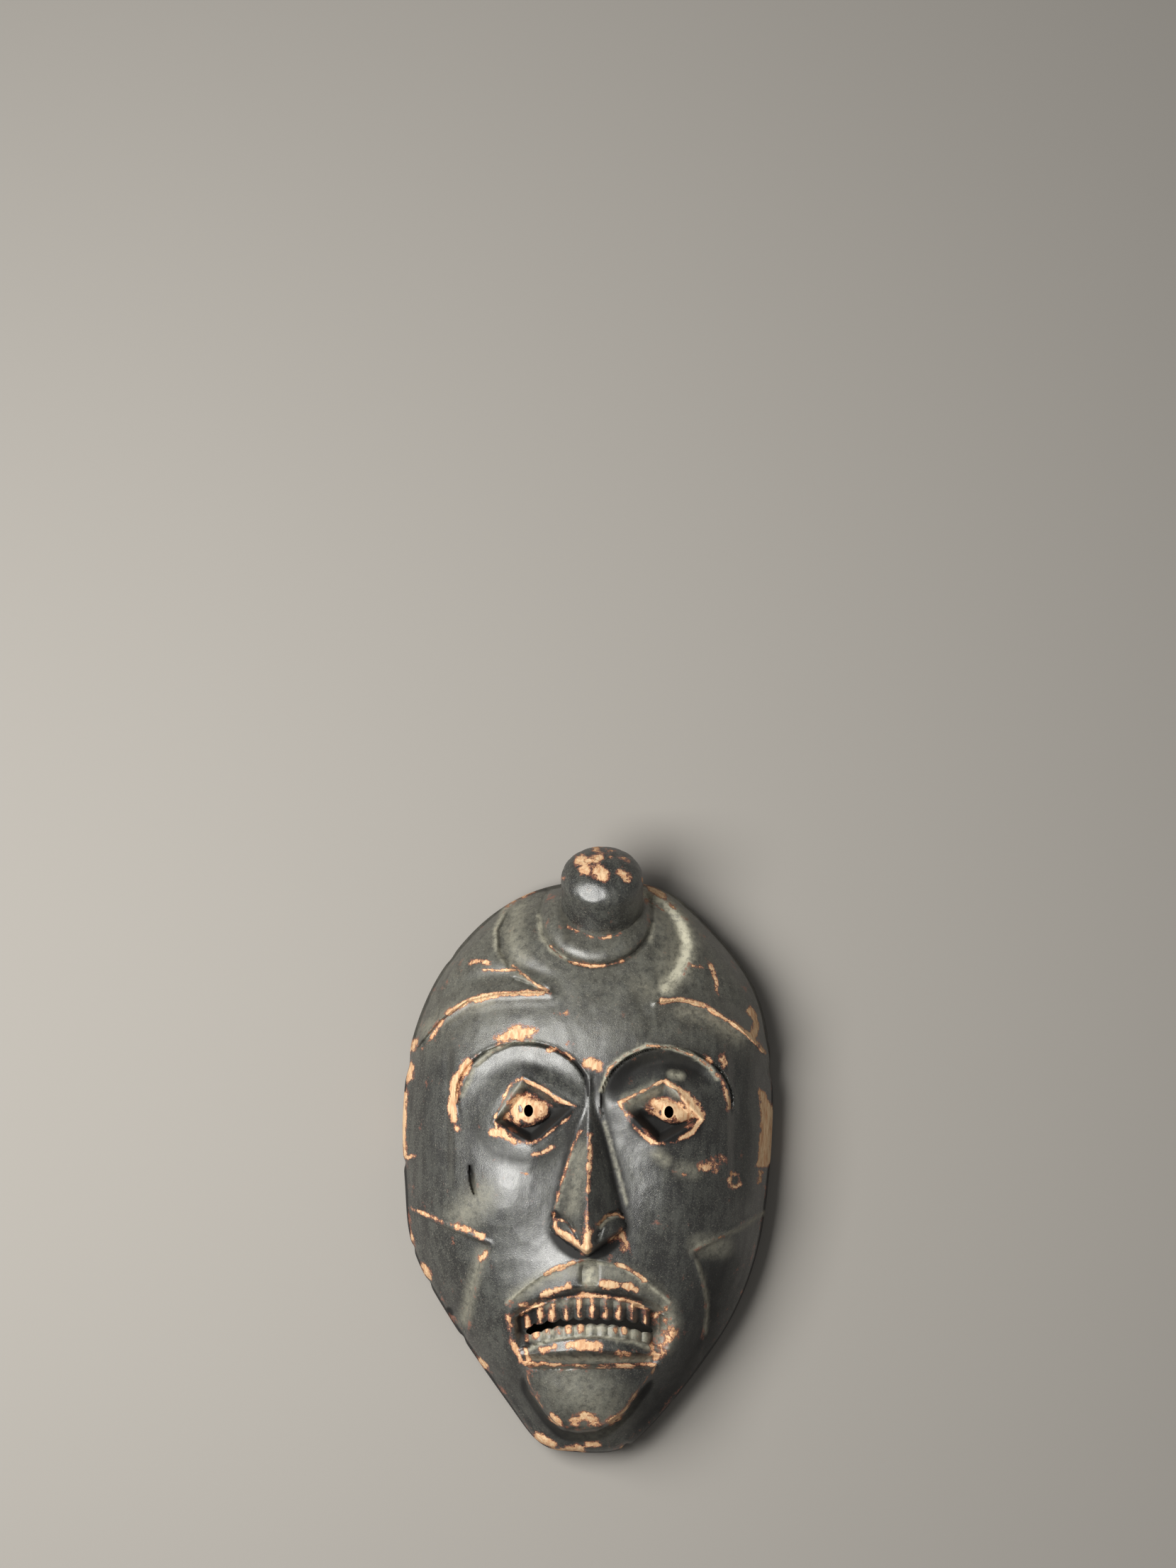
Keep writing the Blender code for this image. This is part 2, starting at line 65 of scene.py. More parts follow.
# The drawing, in drawing units
DRAWN_LENGTH = 300.0
DRAWN_WIDTH = 184.0
DRAWN_DEPTH = 92.83
SIDE_HEIGHT = 15.0
DOME_HEIGHT = 56.0
MIDDLE = (0.0, -6.0)
RIM_OUTLINE = (
    (-8, -149.5), (15, -148.7), (31, -137), (55, -108), (74, -78), (86, -42), (91.4, 8),
    (90.5, 50), (80, 86), (52, 119), (28, 132), (-14, 132), (-46, 118), (-72, 90),
    (-87, 56), (-91.8, 20), (-91, -15), (-87, -48), (-70, -81), (-40, -125), (-24, -145),
)
LEFT_LOCK = (
    (-18.7, 77.4), (-30, 77.4), (-45, 76.8), (-59.5, 73.5), (-73, 64), (-88, 47), (-120, 20),
    (-120, 160), (-28, 160), (-30, 127), (-39, 120), (-44.5, 109), (-44, 98), (-39, 90.5), (-29, 85.5),
)
RIGHT_LOCK = (
    (33.4, 72.5), (46, 73.8), (58, 71), (71, 63), (88, 47), (120, 20), (120, 160), (26, 160),
    (27, 129), (37, 124.5), (46, 113), (49.5, 102), (48, 93), (43, 84),
)
LEFT_JAW = (
    (-49, -46.5), (-66, -40), (-88, -30), (-120, -12), (-120, -140), (-66, -110), (-60.5, -92),
    (-59, -79), (-56.5, -67), (-53, -55.5),
)
RIGHT_JAW = (
    (52.7, -50.5), (68, -42), (88, -30), (120, -12), (120, -140), (60, -116), (56.5, -100),
    (58.6, -88), (59, -78), (58, -67), (55.5, -58),
)
LEFT_EYE_FRAME = ((-46.4, 14.0), (-31.3, 35.7), (-6.8, 21.4), (-27.5, 3.2))
RIGHT_EYE_FRAME = ((15.6, 22.8), (38.0, 34.7), (56.2, 15.1), (34.5, 3.2))
CHIN_PLATE = (
    (-31.5, -105.5), (33.5, -106), (29.5, -112), (23.5, -119.5), (17.5, -129), (10, -135), (4, -138),
    (-5, -139), (-12.5, -137.4), (-16.6, -134), (-22, -127.4), (-28, -118), (-30.5, -110),
)
LEFT_PUPIL = (-29.2, 19.4)
RIGHT_PUPIL = (39.8, 18.8)
# The sockets: middle in X and Y, half width, rise over the middle, depth, and how far in it is reached
SOCKETS = ((-32, 27, 32.5, 25.5, 2.2, 15.0), (39, 24, 32, 26.4, 5.2, 10.0))
# The frames' eyeballs: frame, middle, half width, half height and lean
EYEBALLS = (
    (LEFT_EYE_FRAME, (-29.6, 19.6), 12.2, 8.2, 0.06), (RIGHT_EYE_FRAME, (41.5, 19.4), 11.6, 6.6, -0.16),
)
# Where the eyeballs are rubbed bare: middle, half width, half height and lean
RUBBED_EYES = (((-30.4, 19.8), 10.4, 7.0, 0.06), ((40.6, 19.6), 10.4, 5.4, -0.16))
BITE_ENDS = (-30.5, 32.0)
COLLAR = (4.2, 116.0)
COLLAR_HALF_WIDTH = 27.0
COLLAR_HALF_HEIGHT = 24.5
COLLAR_ROUND = 9.0
COLLAR_RISE = 6.6
TOPKNOT_FOOT = (7.0, 110.8, 31.1)
TOPKNOT_RADIUS = 20.3
TOPKNOT_POST = 32.4
TOPKNOT_END = 10.2
TOPKNOT_LEAN = 46.0
FLAT_PLACE = (-5.3, -15.4, 6.1)
FLAT_NORMAL = (-0.20, -0.60, 0.77)
FLAT_DEPTH = 0.8
# The rows of teeth: how wide a tooth is, and the place in X of one gap
UPPER_TEETH = (6.5, -0.6)
LOWER_TEETH = (5.5, -1.0)
FACE_MIDDLE = 1.5

# How many cells the random values have along each side before they come again
LATTICE = 128

# Chips along the outline: place, half width and depth
NICKS = (
    ((89, 40), 6.0, 2.0), ((90, 55), 2.0, 0.7), ((-87.5, 43), 6.0, 1.4), ((-91, -6), 2.4, 1.0),
    ((-86, -48), 2.2, 0.9), ((-78, -65), 2.6, 1.0), ((-62, -93), 2.2, 0.8), ((19, -147), 2.0, 1.6),
    ((86, -16), 2.4, 1.0), ((-70, 97), 3.4, 0.8), ((62, 111), 3.4, 0.7), ((44, -126), 2.4, 0.8),
)

# The strokes below are each a strength, a half width, and the X and Y of their points in turn

# Where the black is rubbed off down to bare wood. A strength of 1.5 is rubbed through all along, 1 is
# ragged, and 0.8 is broken up.
RUBBED = (
    (0.75, 0.8, -82, 50, -76, 58, -70, 66), (1.45, 1.3, -69, 68, -64, 71, -59.5, 73.2, -52, 75.4),
    (1.3, 1.1, -52, 75.4, -41, 76.8, -30, 77.2, -23, 77.3), (0.9, 1, 36.5, 73.4, 42, 74),
    (1.15, 0.9, 42, 74, 50, 73.6, 58, 71, 67, 65.2, 76, 59.4, 80, 56.5), (0.7, 0.9, 80, 56.5, 88.5, 47.8),
    (1.5, 1.3, 80, 69, 82.6, 65, 83.2, 61, 81.5, 57), (1.3, 1.2, -58, 92.2, -54, 93.4, -49, 93),
    (1.1, 0.6, -52, 89.2, -45, 88.8, -36, 89.2), (1, 0.7, -37, 91, -31, 86, -26, 82),
    (0.7, 0.8, -26, 82, -20, 78.5), (1.25, 1.4, -27.5, 131, -23, 132),
    (0.85, 1.3, -40, 122, -31, 128, -20, 133, -13, 134.5), (0.9, 1.1, 27.5, 133, 36, 127, 43, 120),
    (0.7, 0.8, 30, 124, 38, 118), (0.95, 0.6, -9, 93, -2, 91.2, 4, 90.6, 11, 91.4, 17, 93.4),
    (1.15, 0.6, 1, 90.6, 8, 90.9), (0.8, 0.6, -19, 101, -14, 96, -9, 93),
    (0.85, 0.6, -9.5, 110, -5, 107.2, 0, 105.6, 7, 104.7, 14, 105.6, 20, 109),
    (1.2, 0.5, 0.5, 105.2, 5, 104.7), (1.3, 2.4, -3.5, 143, -1.5, 138.5), (1.3, 2.6, 4, 142, 6.5, 135.5),
    (1.1, 1.6, -3.5, 142.5, 5, 142.5), (1.1, 1.9, 16, 137.6, 19, 133.8),
    (0.9, 0.8, 11, 144.6, 17, 144, 20, 142), (0.75, 1.6, 4, 148.5, 12, 147.5),
    (1.15, 2.6, -43, 55.2, -37, 58.2, -28, 58.8), (1.3, 2.4, 1.2, 43, 4.2, 41.6),
    (1.15, 1.1, -11, 52.6, -9.3, 52.8), (1.15, 1, -19, 49.4, -16.5, 49.6),
    (0.8, 0.8, -16, 49.5, -11, 47.4, -7, 44.8), (0.7, 1, -16, 67, -11, 67),
    (1.5, 2.1, -60, 42.4, -64, 36.5, -66, 30), (1.5, 1.5, -66, 30, -67.2, 22, -66, 16),
    (0.85, 1, -65, 11, -64, 9.5), (1.2, 1, 59.3, 45.4, 60.4, 43.6), (1.1, 1.5, 65.6, 46, 66.6, 42.6),
    (0.95, 1.2, 63, 38, 66.5, 33, 68.5, 27, 70, 22),
    (0.7, 0.5, 7, 31, 10.2, 40.3, 18, 46.8, 29, 51.6, 40.6, 50.6, 51.6, 46.9, 60, 41, 64, 35),
    (0.5, 5, 38, -80, 40, -88, 36, -97), (1.5, 1.6, -46.8, 8.4, -43, 8.8),
    (1.5, 1.3, -43, 8.8, -39, 6, -36.2, 4.3), (1.1, 0.6, -45.9, 16.4, -42.9, 22, -38.7, 31.8),
    (1.15, 0.9, -38.7, 31.8, -36, 33.6, -32.6, 35.2),
    (1.1, 0.6, -32.6, 35.2, -22.3, 30.3, -13, 24.1, -6, 21.5),
    (1, 0.6, -6, 21.5, -8.9, 16.4, -17.1, 10.2, -23.3, 5.1), (1, 0.9, -23.3, 5.1, -28.4, 3.5, -36.2, 4.3),
    (0.95, 0.8, -27, -2.2, -22, -1, -18, 1.4), (1.05, 0.7, -33, -11.2, -29.5, -11.6),
    (0.95, 0.6, -45.8, 14, -45, 11), (0.95, 0.6, 15.4, 23.8, 24, 27.8, 31, 31.2, 36.5, 34.2),
    (1.25, 0.9, 38, 34, 44, 30.2, 48, 27), (1.5, 1.9, 48, 26.6, 52.4, 22.2, 54.6, 18.4),
    (1.05, 0.9, 55.6, 15.4, 52, 9.4, 46, 6, 40, 3.6), (0.85, 0.7, 15.6, 22.4, 20, 14.6, 26, 8, 32, 3.6),
    (0.8, 1, 32, 3.6, 38, 3.2), (0.85, 1, 1, 8, 1.2, 2, 0.8, -6, 0.4, -12.5),
    (0.6, 0.8, 0.4, -12.5, 0, -20), (0.4, 0.6, -0.5, -22, -0.5, -38),
    (1.5, 1.9, 0.2, -40.5, -0.4, -44, -1, -48.4), (1.4, 1.2, -14.5, -39.6, -9.5, -42.6, -3, -47),
    (1, 0.8, -17, -31, -16, -37.5, -14.5, -39.6), (0.85, 0.6, -15, -33.4, -10, -35.4, -6.6, -39.4),
    (0.95, 0.7, -3.8, 9.5, -6.6, 4, -8, 0.5), (0.6, 0.5, -8, 0.5, -12, -12, -16.4, -28),
    (0.8, 0.6, 5.6, -36, 9.4, -31.8, 14.6, -31, 18.4, -33.4),
    (0.6, 1.6, 12, -44, 17, -40, 19, -47, 11, -52), (0.7, 0.7, -88, -28.4, -76, -33, -66, -37),
    (1.3, 1.2, -65, -37.2, -58, -39.4, -52.4, -42), (0.95, 1, -67, -43, -66, -46),
    (0.95, 0.9, -50.6, -49.8, -52.6, -54.2), (0.85, 0.6, 65, -43, 67, -42.4),
    (1.15, 1, -20.5, -60.4, -14, -57.6, -7.4, -55.2), (0.85, 0.8, 14, -55.4, 22, -59, 28, -64),
    (1.25, 1.2, -23, -71.4, -17, -68.8, -9.4, -67), (1.3, 1.4, 8, -65.8, 13.4, -66),
    (1.2, 1.1, 17.4, -66, 24, -68.4),
    (0.95, 0.8, -33, -80.5, -26, -76.4, -15, -72.8, -3, -71.2, 8, -71.6, 20, -74, 30, -78.6),
    (0.9, 1.3, -39, -75, -31, -76.5), (1.2, 1.3, -22.6, -98, -16.6, -96.8),
    (1.35, 1.8, -9.2, -96, -1, -95.6, 5, -97), (1, 1.1, 15, -99.4, 20, -100.2),
    (0.7, 1.2, -39.4, -82, -38, -90, -35.4, -98, -33.4, -103), (1, 1, -31, -98, -29.4, -103),
    (0.85, 1.6, 33, -82, 38, -78.6), (1, 1.3, 31, -96, 33.4, -102),
    (0.85, 0.8, -31.4, -104.8, -16, -105.6, 0, -106, 16, -106, 33, -105.6),
    (0.45, 0.6, -30.4, -109, -28, -118, -22, -127.4), (0.9, 0.7, 32.4, -108, 31.6, -112),
    (0.55, 0.7, 29.5, -112, 23.5, -119.5), (0.85, 1, 22.6, -121, 17.6, -129, 12, -133.6),
    (1, 1.3, 15, -131.4, 11, -134.4), (1.45, 1.9, -7, -132.6, -2, -131.6, 2.6, -132.8),
    (1, 1.4, -18, -131, -14.6, -134.6), (1.4, 1.6, -24.6, -141.4, -20, -143.6, -17.4, -146),
    (1.4, 1.5, -10, -147.8, -3, -148), (1.1, 1.2, -0.5, -146, 5, -145.4), (1, 1, 17.5, -148, 19, -147.6),
    (0.8, 1, -16, -148, -10, -149), (1.4, 1, -91.4, 28, -91.7, 12, -91, -2),
    (1.4, 1.6, -88, 41, -88.6, 36), (1.1, 1.4, -86.6, 53.6, -87.4, 50), (1, 0.6, -91, -3.4, -86, -3.2),
    (1, 1.5, -89, -43, -88.2, -46.6), (1.05, 1.5, -81.4, -57, -78.6, -62),
    (0.9, 1.4, -73, -79, -70.6, -83), (0.9, 1.1, -53, -103.6, -51, -106.6),
    (0.95, 1.2, 85.8, -11, 84.6, -15), (1.1, 0.8, 60.5, 91, 63, 85, 64, 77),
    (0.75, 0.7, 52, 91, 56.5, 90.6),
    (1, 1.1, 71, -11.6, 74.4, -12, 75.4, -15.6, 73, -18.4, 70.4, -17.6, 70, -14),
    (1, 2.6, 56, -9.6, 60, -8, 64.6, -5), (0.85, 0.8, 47, -11.6, 48.6, -11.2),
)

# The long strip of bare wood on the right edge, as an outline
EDGE_STRIP = (
    (84.2, 31.5), (89, 27), (94, 14), (94, 0), (89, -7.8), (82.7, -8.2), (84.4, 0), (85.4, 8), (85.6, 20),
)

# Dark gouges beside the pupils, cut through the bare wood
GOUGED = (
    (1.3, 0.8, -33.4, 21.8, -33.2, 19.2), (1.1, 0.7, 35.4, 20, 35.6, 17.8),
)

# Where pale dust has settled, and a painted sheen: the broad stroke over the chin plate
DUST_AND_SHEEN = (
    (0.6, 1.6, -43, 16, -39, 25, -33, 32),
    (1.3, 0.8, 6.6, 29.5, 10.2, 40.3, 18, 46.8, 29, 51.6, 40.6, 50.6, 51.6, 46.9, 60, 41, 64, 35),
    (0.6, 4, 38, -78, 40, -86, 37, -95), (0.5, 1.4, -22, -76, 0, -73.6, 22, -76),
    # The broad stroke at the end of this line, over the chin plate, is a painted sheen
    (0.95, 2.2, -27, -91, -12, -88.4, 2, -87.8, 14, -88.6, 28, -92), (0.35, 12, -8, -114, 4, -126),
    (0.6, 1.2, -28, -102, 0, -102.6, 30, -103),
    (0.8, 1.3, -34, 127, -41.5, 119, -45.8, 109, -45.4, 100, -41, 93, -33, 87, -22, 79),
    (0.45, 6, -34, 121, -38, 108, -34, 96),
    (1.4, 3.4, 30, 127, 38.7, 121.7, 45.2, 114, 48.7, 104.2, 48.4, 96.5, 44.8, 88.9, 38.7, 80.8),
    (0.6, 8, 38, 122, 47, 106, 43, 90), (0.35, 3.6, -3, 0, -5.5, -14, -8, -28), (0.4, 3, 46, -9, 52, -10),
    (0.35, 6, 40, 84, 32, 78, 26, 82), (0.45, 4, 46, 69, 60, 65, 74, 56),
    (0.4, 4, -80, 60, -66, 70, -50, 73), (0.5, 2.6, -36, -72, -22, -62.5, -6, -58.5),
    (0.35, 3.6, 8, -59, 22, -62, 34, -71),
    (0.85, 0.9, -40, -74.6, -28, -65.4, -14, -57.4, 0, -54.4, 16, -57, 30, -66.5, 40, -74.6),
    (1.1, 3, 0.6, -60, 0.6, -64),
    (0.9, 0.9, -29, -98, -20, -93.4, -6, -91.2, 8, -91.6, 22, -94, 31, -97.6),
    (0.9, 2.8, 20, 24, 27, 26.6, 33, 30), (0.8, 1.4, 47, 26, 40, 32),
    (0.9, 1, -24.6, 116, -23.4, 106, -18, 98.6, -11, 94.4), (0.6, 1.5, 32, 112, 31, 104),
    (0.7, 0.8, 53, -49, 64, -43.6, 76, -38, 87, -31), (0.5, 4, 55, -47, 66, -47),
    (0.8, 0.8, 53.6, -54, 57, -64, 59, -76, 58, -90), (0.45, 2.4, -52, -50, -57, -66, -61, -84),
    (1, 0.9, 5.6, -37, 9.4, -32.8, 14.6, -31.6), (0.9, 1.5, 41, 37.4, 45.6, 36.6),
    (0.75, 1, -62, 27, -56, 41, -47, 49.4, -37, 53.4, -27, 53.8), (0.6, 0.7, -15.6, -28, -11, -12, -7, 2),
    (0.6, 0.7, 8, 14, 13, -4, 19, -26), (0.55, 2.4, 34, -2, 38, -5), (0.4, 6, -52, -22, -62, -32),
)

# Where the wood is painted darkest: old dirt in the cuts, the crack and the holes, and darker wood down the
# temples. It also holds painted shade: under both eyeballs, below the left eye, in the top of the right
# socket, down the right side of the nose, a painted shadow under the right nostril, and over the right
# cheek and jaw, which turn away from the light
SOOT_AND_SHADE = (
    (1.2, 0.7, -63.6, 25.3, -57.3, 39.7, -47.3, 47.8, -37.3, 52.2, -28, 52.8, -16.7, 50.3),
    (1.2, 0.7, -16.7, 50.3, -6.7, 44.6, -1.1, 36.5, 0.2, 27.1),
    # Painted shade: the first stroke on this line, below the left eye, and the strokes under both eyeballs
    # and in the top of the right socket on the next two lines
    (0.45, 4.5, -54, 8, -47, -1, -34, -5, -22, -4, -12, 3, -8, 10), (0.35, 10, 58, 118, 76, 98, 86, 72),
    (0.25, 10, -52, 122, -70, 104, -82, 78), (1.4, 5, 27, 13, 35, 9, 44, 9.6, 51, 13.6),
    (1.3, 3.6, -41, 12.4, -34, 9, -27, 8.4, -18, 13, -11, 19), (1, 7, 12, 34, 20, 42, 34, 46, 52, 42),
    # Painted shade: a painted shadow under the right nostril, and the shaded right side of the nose
    (1, 2.6, 5, -49.6, 10, -46.5, 15, -43.4), (0.6, 2.2, 4, 44, 6, 30, 9, 16, 15, -6, 20, -28),
    (0.35, 7, -77, 44, -79, 10, -76, -14), (0.4, 8, 77, 44, 78, 10, 76, -20), (0.35, 7, -62, 58, -72, 40),
    (0.38, 9, -38, -108, -31, -124, -20, -137, -8, -143, 6, -143, 20, -137, 32, -122, 42, -106),
    # Painted shade: the right jaw and the right cheek, which turn away from the light
    (0.65, 15, 64, -60, 58, -90, 43, -118, 28, -134), (0.25, 14, 48, -18, 56, -48),
    (0.9, 2, -58.2, -8, -57.6, -15, -56.2, -21), (1.2, 1.6, -69, -79.5, -68.6, -80.5),
    (0.9, 0.8, 35, -126.4, 36.4, -128), (0.8, 1.6, -13, -134, -10, -137, -2, -136.6, 6, -136),
    (0.9, 3, -10, 104, -11, 112, -12, 118), (0.7, 6, 12, 110, 22, 116, 25, 126),
    (0.8, 2, -26, -101.6, 0, -101, 28, -103), (0.8, 1.6, -24, -74, 0, -69.2, 26, -73.4),
)


def linear(colour):
    """An sRGB hex colour as three linear values."""
    shares = [int(colour[at:at + 2], 16) / 255.0 for at in (1, 3, 5)]
    return tuple(
        share / 12.92 if share <= 0.04045 else ((share + 0.055) / 1.055) ** 2.4 for share in shares
    )


def measure(name, description, default, unit="LENGTH"):
    """A size, or a light's power, that a user can change."""
    return bpy.props.FloatProperty(name=name, description=description, default=default, unit=unit)


def colour(name, description, code):
    """A colour that a user can change, from its hex code."""
    return bpy.props.FloatVectorProperty(
        name=name, description=description, default=linear(code), subtype="COLOR", min=0.0, max=1.0)


class MaskSizes(bpy.types.PropertyGroup):
    """Sizes of the carved mask."""

    width: measure("Width", "Across the cheeks", MASK_SIZE.x)
    length: measure("Length", "From the chin to the topknot's end", MASK_SIZE.y)
    depth: measure("Depth", "From the back rim to the tip of the nose", MASK_SIZE.z)
    rim_width: measure("Rim width", "Flat rim round the hollow back", 0.010)
    rim_chamfer: measure("Rim chamfer", "Worn outer corner of the rim", 0.0015)
    face_wall: measure("Wall", "Wood between the brow and the hollow", 0.013)
    pupil_bore: measure("Pupil", "Width of each drilled pupil", 0.0046)
    pupil_height: measure("Pupil height", "Height of each drilled pupil", 0.0060)
    teeth_gap: measure("Bite", "Gap between the teeth in the middle", 0.0022)
    corner_gap: measure("Bite at the corners", "Gap at both ends of the mouth", 0.0052)


class MaskColours(bpy.types.PropertyGroup):
    """Colours of the wood and of what lies on it."""

    patina: colour("Patina", "Blackened, waxed surface", "#171716")
    patina_light: colour("Patina, thin", "Where the black has worn thin", "#40413C")
    fleck: colour("Flecks", "Pale specks where a pore is open", "#8D8578")
    # Soot colour, also used for painted shade in the recesses and on the side turned from the light
    soot_and_shade: colour("Soot", "Old dirt in the deep cuts", "#121110")
    # Dust colour, also used for the painted sheen on the chin plate
    dust_and_sheen: colour("Dust", "Pale dust in the soft hollows", "#AFAB98")
    bare: colour("Bare wood", "Rubbed edges", "#E2C29A")
    bare_dark: colour("Bare wood grain", "Darker grain in the rubbed edges", "#C2906A")
    stain: colour("Stain", "Reddish wood beside the rubbed edges", "#7E4A38")
    aged: colour("Hollow", "Aged wood inside the hollow", "#6B4E38")
    aged_dark: colour("Hollow grain", "Dark grain inside the hollow", "#34251B")


class MaskStage(bpy.types.PropertyGroup):
    """The floor, the light and the camera."""

    floor: colour("Floor", "Plain pale floor", "#98948F")
    key_power: measure("Key light", "Soft light from the upper left", 17.5, "POWER")
    fill_power: measure("Fill light", "Weak light from the lower right", 0.6, "POWER")
    camera_height: measure("Camera height", "Above the floor", 5.0)


def smooth(share):
    """Ease from 0 to 1."""
    share = np.clip(share, 0.0, 1.0)
    return share * share * (3.0 - 2.0 * share)


def step_at(distance, width):
    """0 outside an edge and 1 inside it, over the given width."""
    return smooth(distance / width + 0.5)


def swell(x, y, middle, half_width, half_height):
    """A soft round bulge, 1 at its middle."""
    return np.exp(-((x - middle[0]) / half_width) ** 2 - ((y - middle[1]) / half_height) ** 2)


def bell(distance, width):
    """1 on a line, falling away softly over the given width."""
    return np.exp(-((distance / width) ** 2))


def path_distance(x, y, points):
    """Distance from each place to a line through the points."""
    nearest = np.full(np.shape(x), np.inf)
    for (ax, ay), (bx, by) in zip(points[:-1], points[1:]):
        run_x, run_y = bx - ax, by - ay
        along = ((x - ax) * run_x + (y - ay) * run_y) / (run_x**2 + run_y**2)
        along = np.clip(along, 0.0, 1.0)
        nearest = np.minimum(nearest, np.hypot(x - ax - along * run_x, y - ay - along * run_y))
    return nearest


def inside_distance(x, y, corners):
    """Distance to a closed outline, more than 0 inside it and less than 0 outside."""
    closed = tuple(corners) + (corners[0],)
    inside = np.zeros(np.shape(x), bool)
    for (ax, ay), (bx, by) in zip(closed[:-1], closed[1:]):
        if ay != by:
            crosses = (ay > y) != (by > y)
            inside ^= crosses & (x < ax + (y - ay) * (bx - ax) / (by - ay))
    return np.where(inside, 1.0, -1.0) * path_distance(x, y, closed)


def groove(x, y, points, depth, width):
    """A cut with a rounded bottom along a line."""
    return -depth * bell(path_distance(x, y, points), 0.5 * width)


def between_cells(chart, column, row, across, up):
    """A chart's value between four cells, from the shares of the way across and up."""
    rows, columns = chart.shape
    lower, upper, left, right = row % rows, (row + 1) % rows, column % columns, (column + 1) % columns
    low = chart[lower, left] * (1.0 - across) + chart[lower, right] * across
    high = chart[upper, left] * (1.0 - across) + chart[upper, right] * across
    return low * (1.0 - up) + high * up


def hills(x, y, cell, seed):
    """Smooth random rises and dips about one cell across, from -1 to 1."""
    lattice = np.random.default_rng(seed).uniform(-1.0, 1.0, (LATTICE, LATTICE))
    column, row = np.floor(x / cell).astype(int), np.floor(y / cell).astype(int)
    return between_cells(lattice, column, row, smooth(x / cell - column), smooth(y / cell - row))


def scoops(x, y, pitch, seed):
    """Overlapping scoops of a gouge: 0 in the middle of each and most on the ridges between them."""
    shift = np.random.default_rng(seed).uniform(-0.35, 0.35, (2, LATTICE, LATTICE))
    column, row = np.floor(x / pitch).astype(int), np.floor(y / pitch).astype(int)
    nearest = np.full(np.shape(x), np.inf)
    for right in (-1, 0, 1):
        for above in (-1, 0, 1):
            there = ((row + above) % LATTICE, (column + right) % LATTICE)
            middle_x = (column + right + 0.5 + shift[0][there]) * pitch
            middle_y = (row + above + 0.5 + shift[1][there]) * pitch
            nearest = np.minimum(nearest, (x - middle_x) ** 2 + (y - middle_y) ** 2)
    return nearest / pitch**2


def rim_radius(angles):
    """The rim's distance from the middle, on a smooth closed curve through RIM_OUTLINE."""
    points = np.array(RIM_OUTLINE, float)
    before, after, beyond = (np.roll(points, shift, axis=0) for shift in (1, -1, -2))
    curve = []
    for t in np.linspace(0.0, 1.0, 24, endpoint=False):
        curve.append(
            0.5 * (2 * points + (after - before) * t + (2 * before - 5 * points + 4 * after - beyond) * t**2
                   + (3 * points - before - 3 * after + beyond) * t**3)
        )
    curve = np.array(curve).reshape(-1, 2) - MIDDLE
    turn = np.arctan2(curve[:, 1], curve[:, 0])
    order = np.argsort(turn)
    return np.interp(angles, turn[order], np.hypot(curve[order, 0], curve[order, 1]), period=2 * math.pi)


def dome(share):
    """Height of the plain block over the side wall, from 1 at the middle to 0 at the rim."""
    return (1.0 - np.clip(share, 0.0, 1.0) ** 2.4) ** 0.6


def swells(x, y):
    """Broad forms: the forehead, the cheeks and the muzzle."""
    lift = 3.0 * swell(x, y, (4, 62), 52, 22)
    lift += 4.0 * swell(x, y, (-42, -20), 20, 22) + 4.0 * swell(x, y, (46, -20), 20, 22)
    lift += 7.0 * swell(x, y, (1, -82), 40, 30)
    return lift


def locks(x, y):
    """The two leaf-shaped locks of the cap, each with a sharp lower ridge and a trough behind it."""
    lift = np.zeros_like(x)
    for outline, ridge_points, softness in ((LEFT_LOCK, 6, 2.4), (RIGHT_LOCK, 5, 6.0)):
        depth_in = inside_distance(x, y, outline)
        from_ridge = path_distance(x, y, outline[:ridge_points])
        width = np.where(from_ridge < 6.0, 1.4, softness)
        lift += 3.2 * step_at(depth_in, width)
        lift -= 1.8 * bell(depth_in + 3.5, 4.0) * smooth((from_ridge - 4.0) / 8.0)
        lift += 1.4 * bell(from_ridge, 1.9)
        lift -= 2.2 * step_at(depth_in, 2.0) * bell(from_ridge - 9.0, 5.0)
    return lift + groove(x, y, ((-36, 84), (-20, 78.3)), 2.4, 2.2)


def temples(x, y):
    """Flat cuts down both sides of the face, level with the eyes."""
    beyond = np.abs(x - FACE_MIDDLE) - 69.0
    level = smooth((y + 22.0) / 16.0) * smooth((56.0 - y) / 16.0)
    return -2.6 * step_at(beyond, 4.0) * level


def sockets(x, y):
    """The round eye sockets: a fine cut along the brow, and a hollow under it."""
    cut = np.zeros_like(x)
    for middle_x, middle_y, half_width, rise, depth, run in SOCKETS:
        height = np.where(y > middle_y, rise, 33.0)
        share = np.hypot((x - middle_x) / half_width, (y - middle_y) / height)
        to_edge = (1.0 - share) * half_width
        above = smooth((y - middle_y + 12.0) / 16.0)
        cut -= 2.4 * bell(to_edge, 0.6) * above
        cut += 0.4 * bell(to_edge + 1.4, 0.9) * above
        cut -= depth * smooth((to_edge + 0.5) / run) * smooth((y - middle_y + 2.0) / 22.0)
    return cut


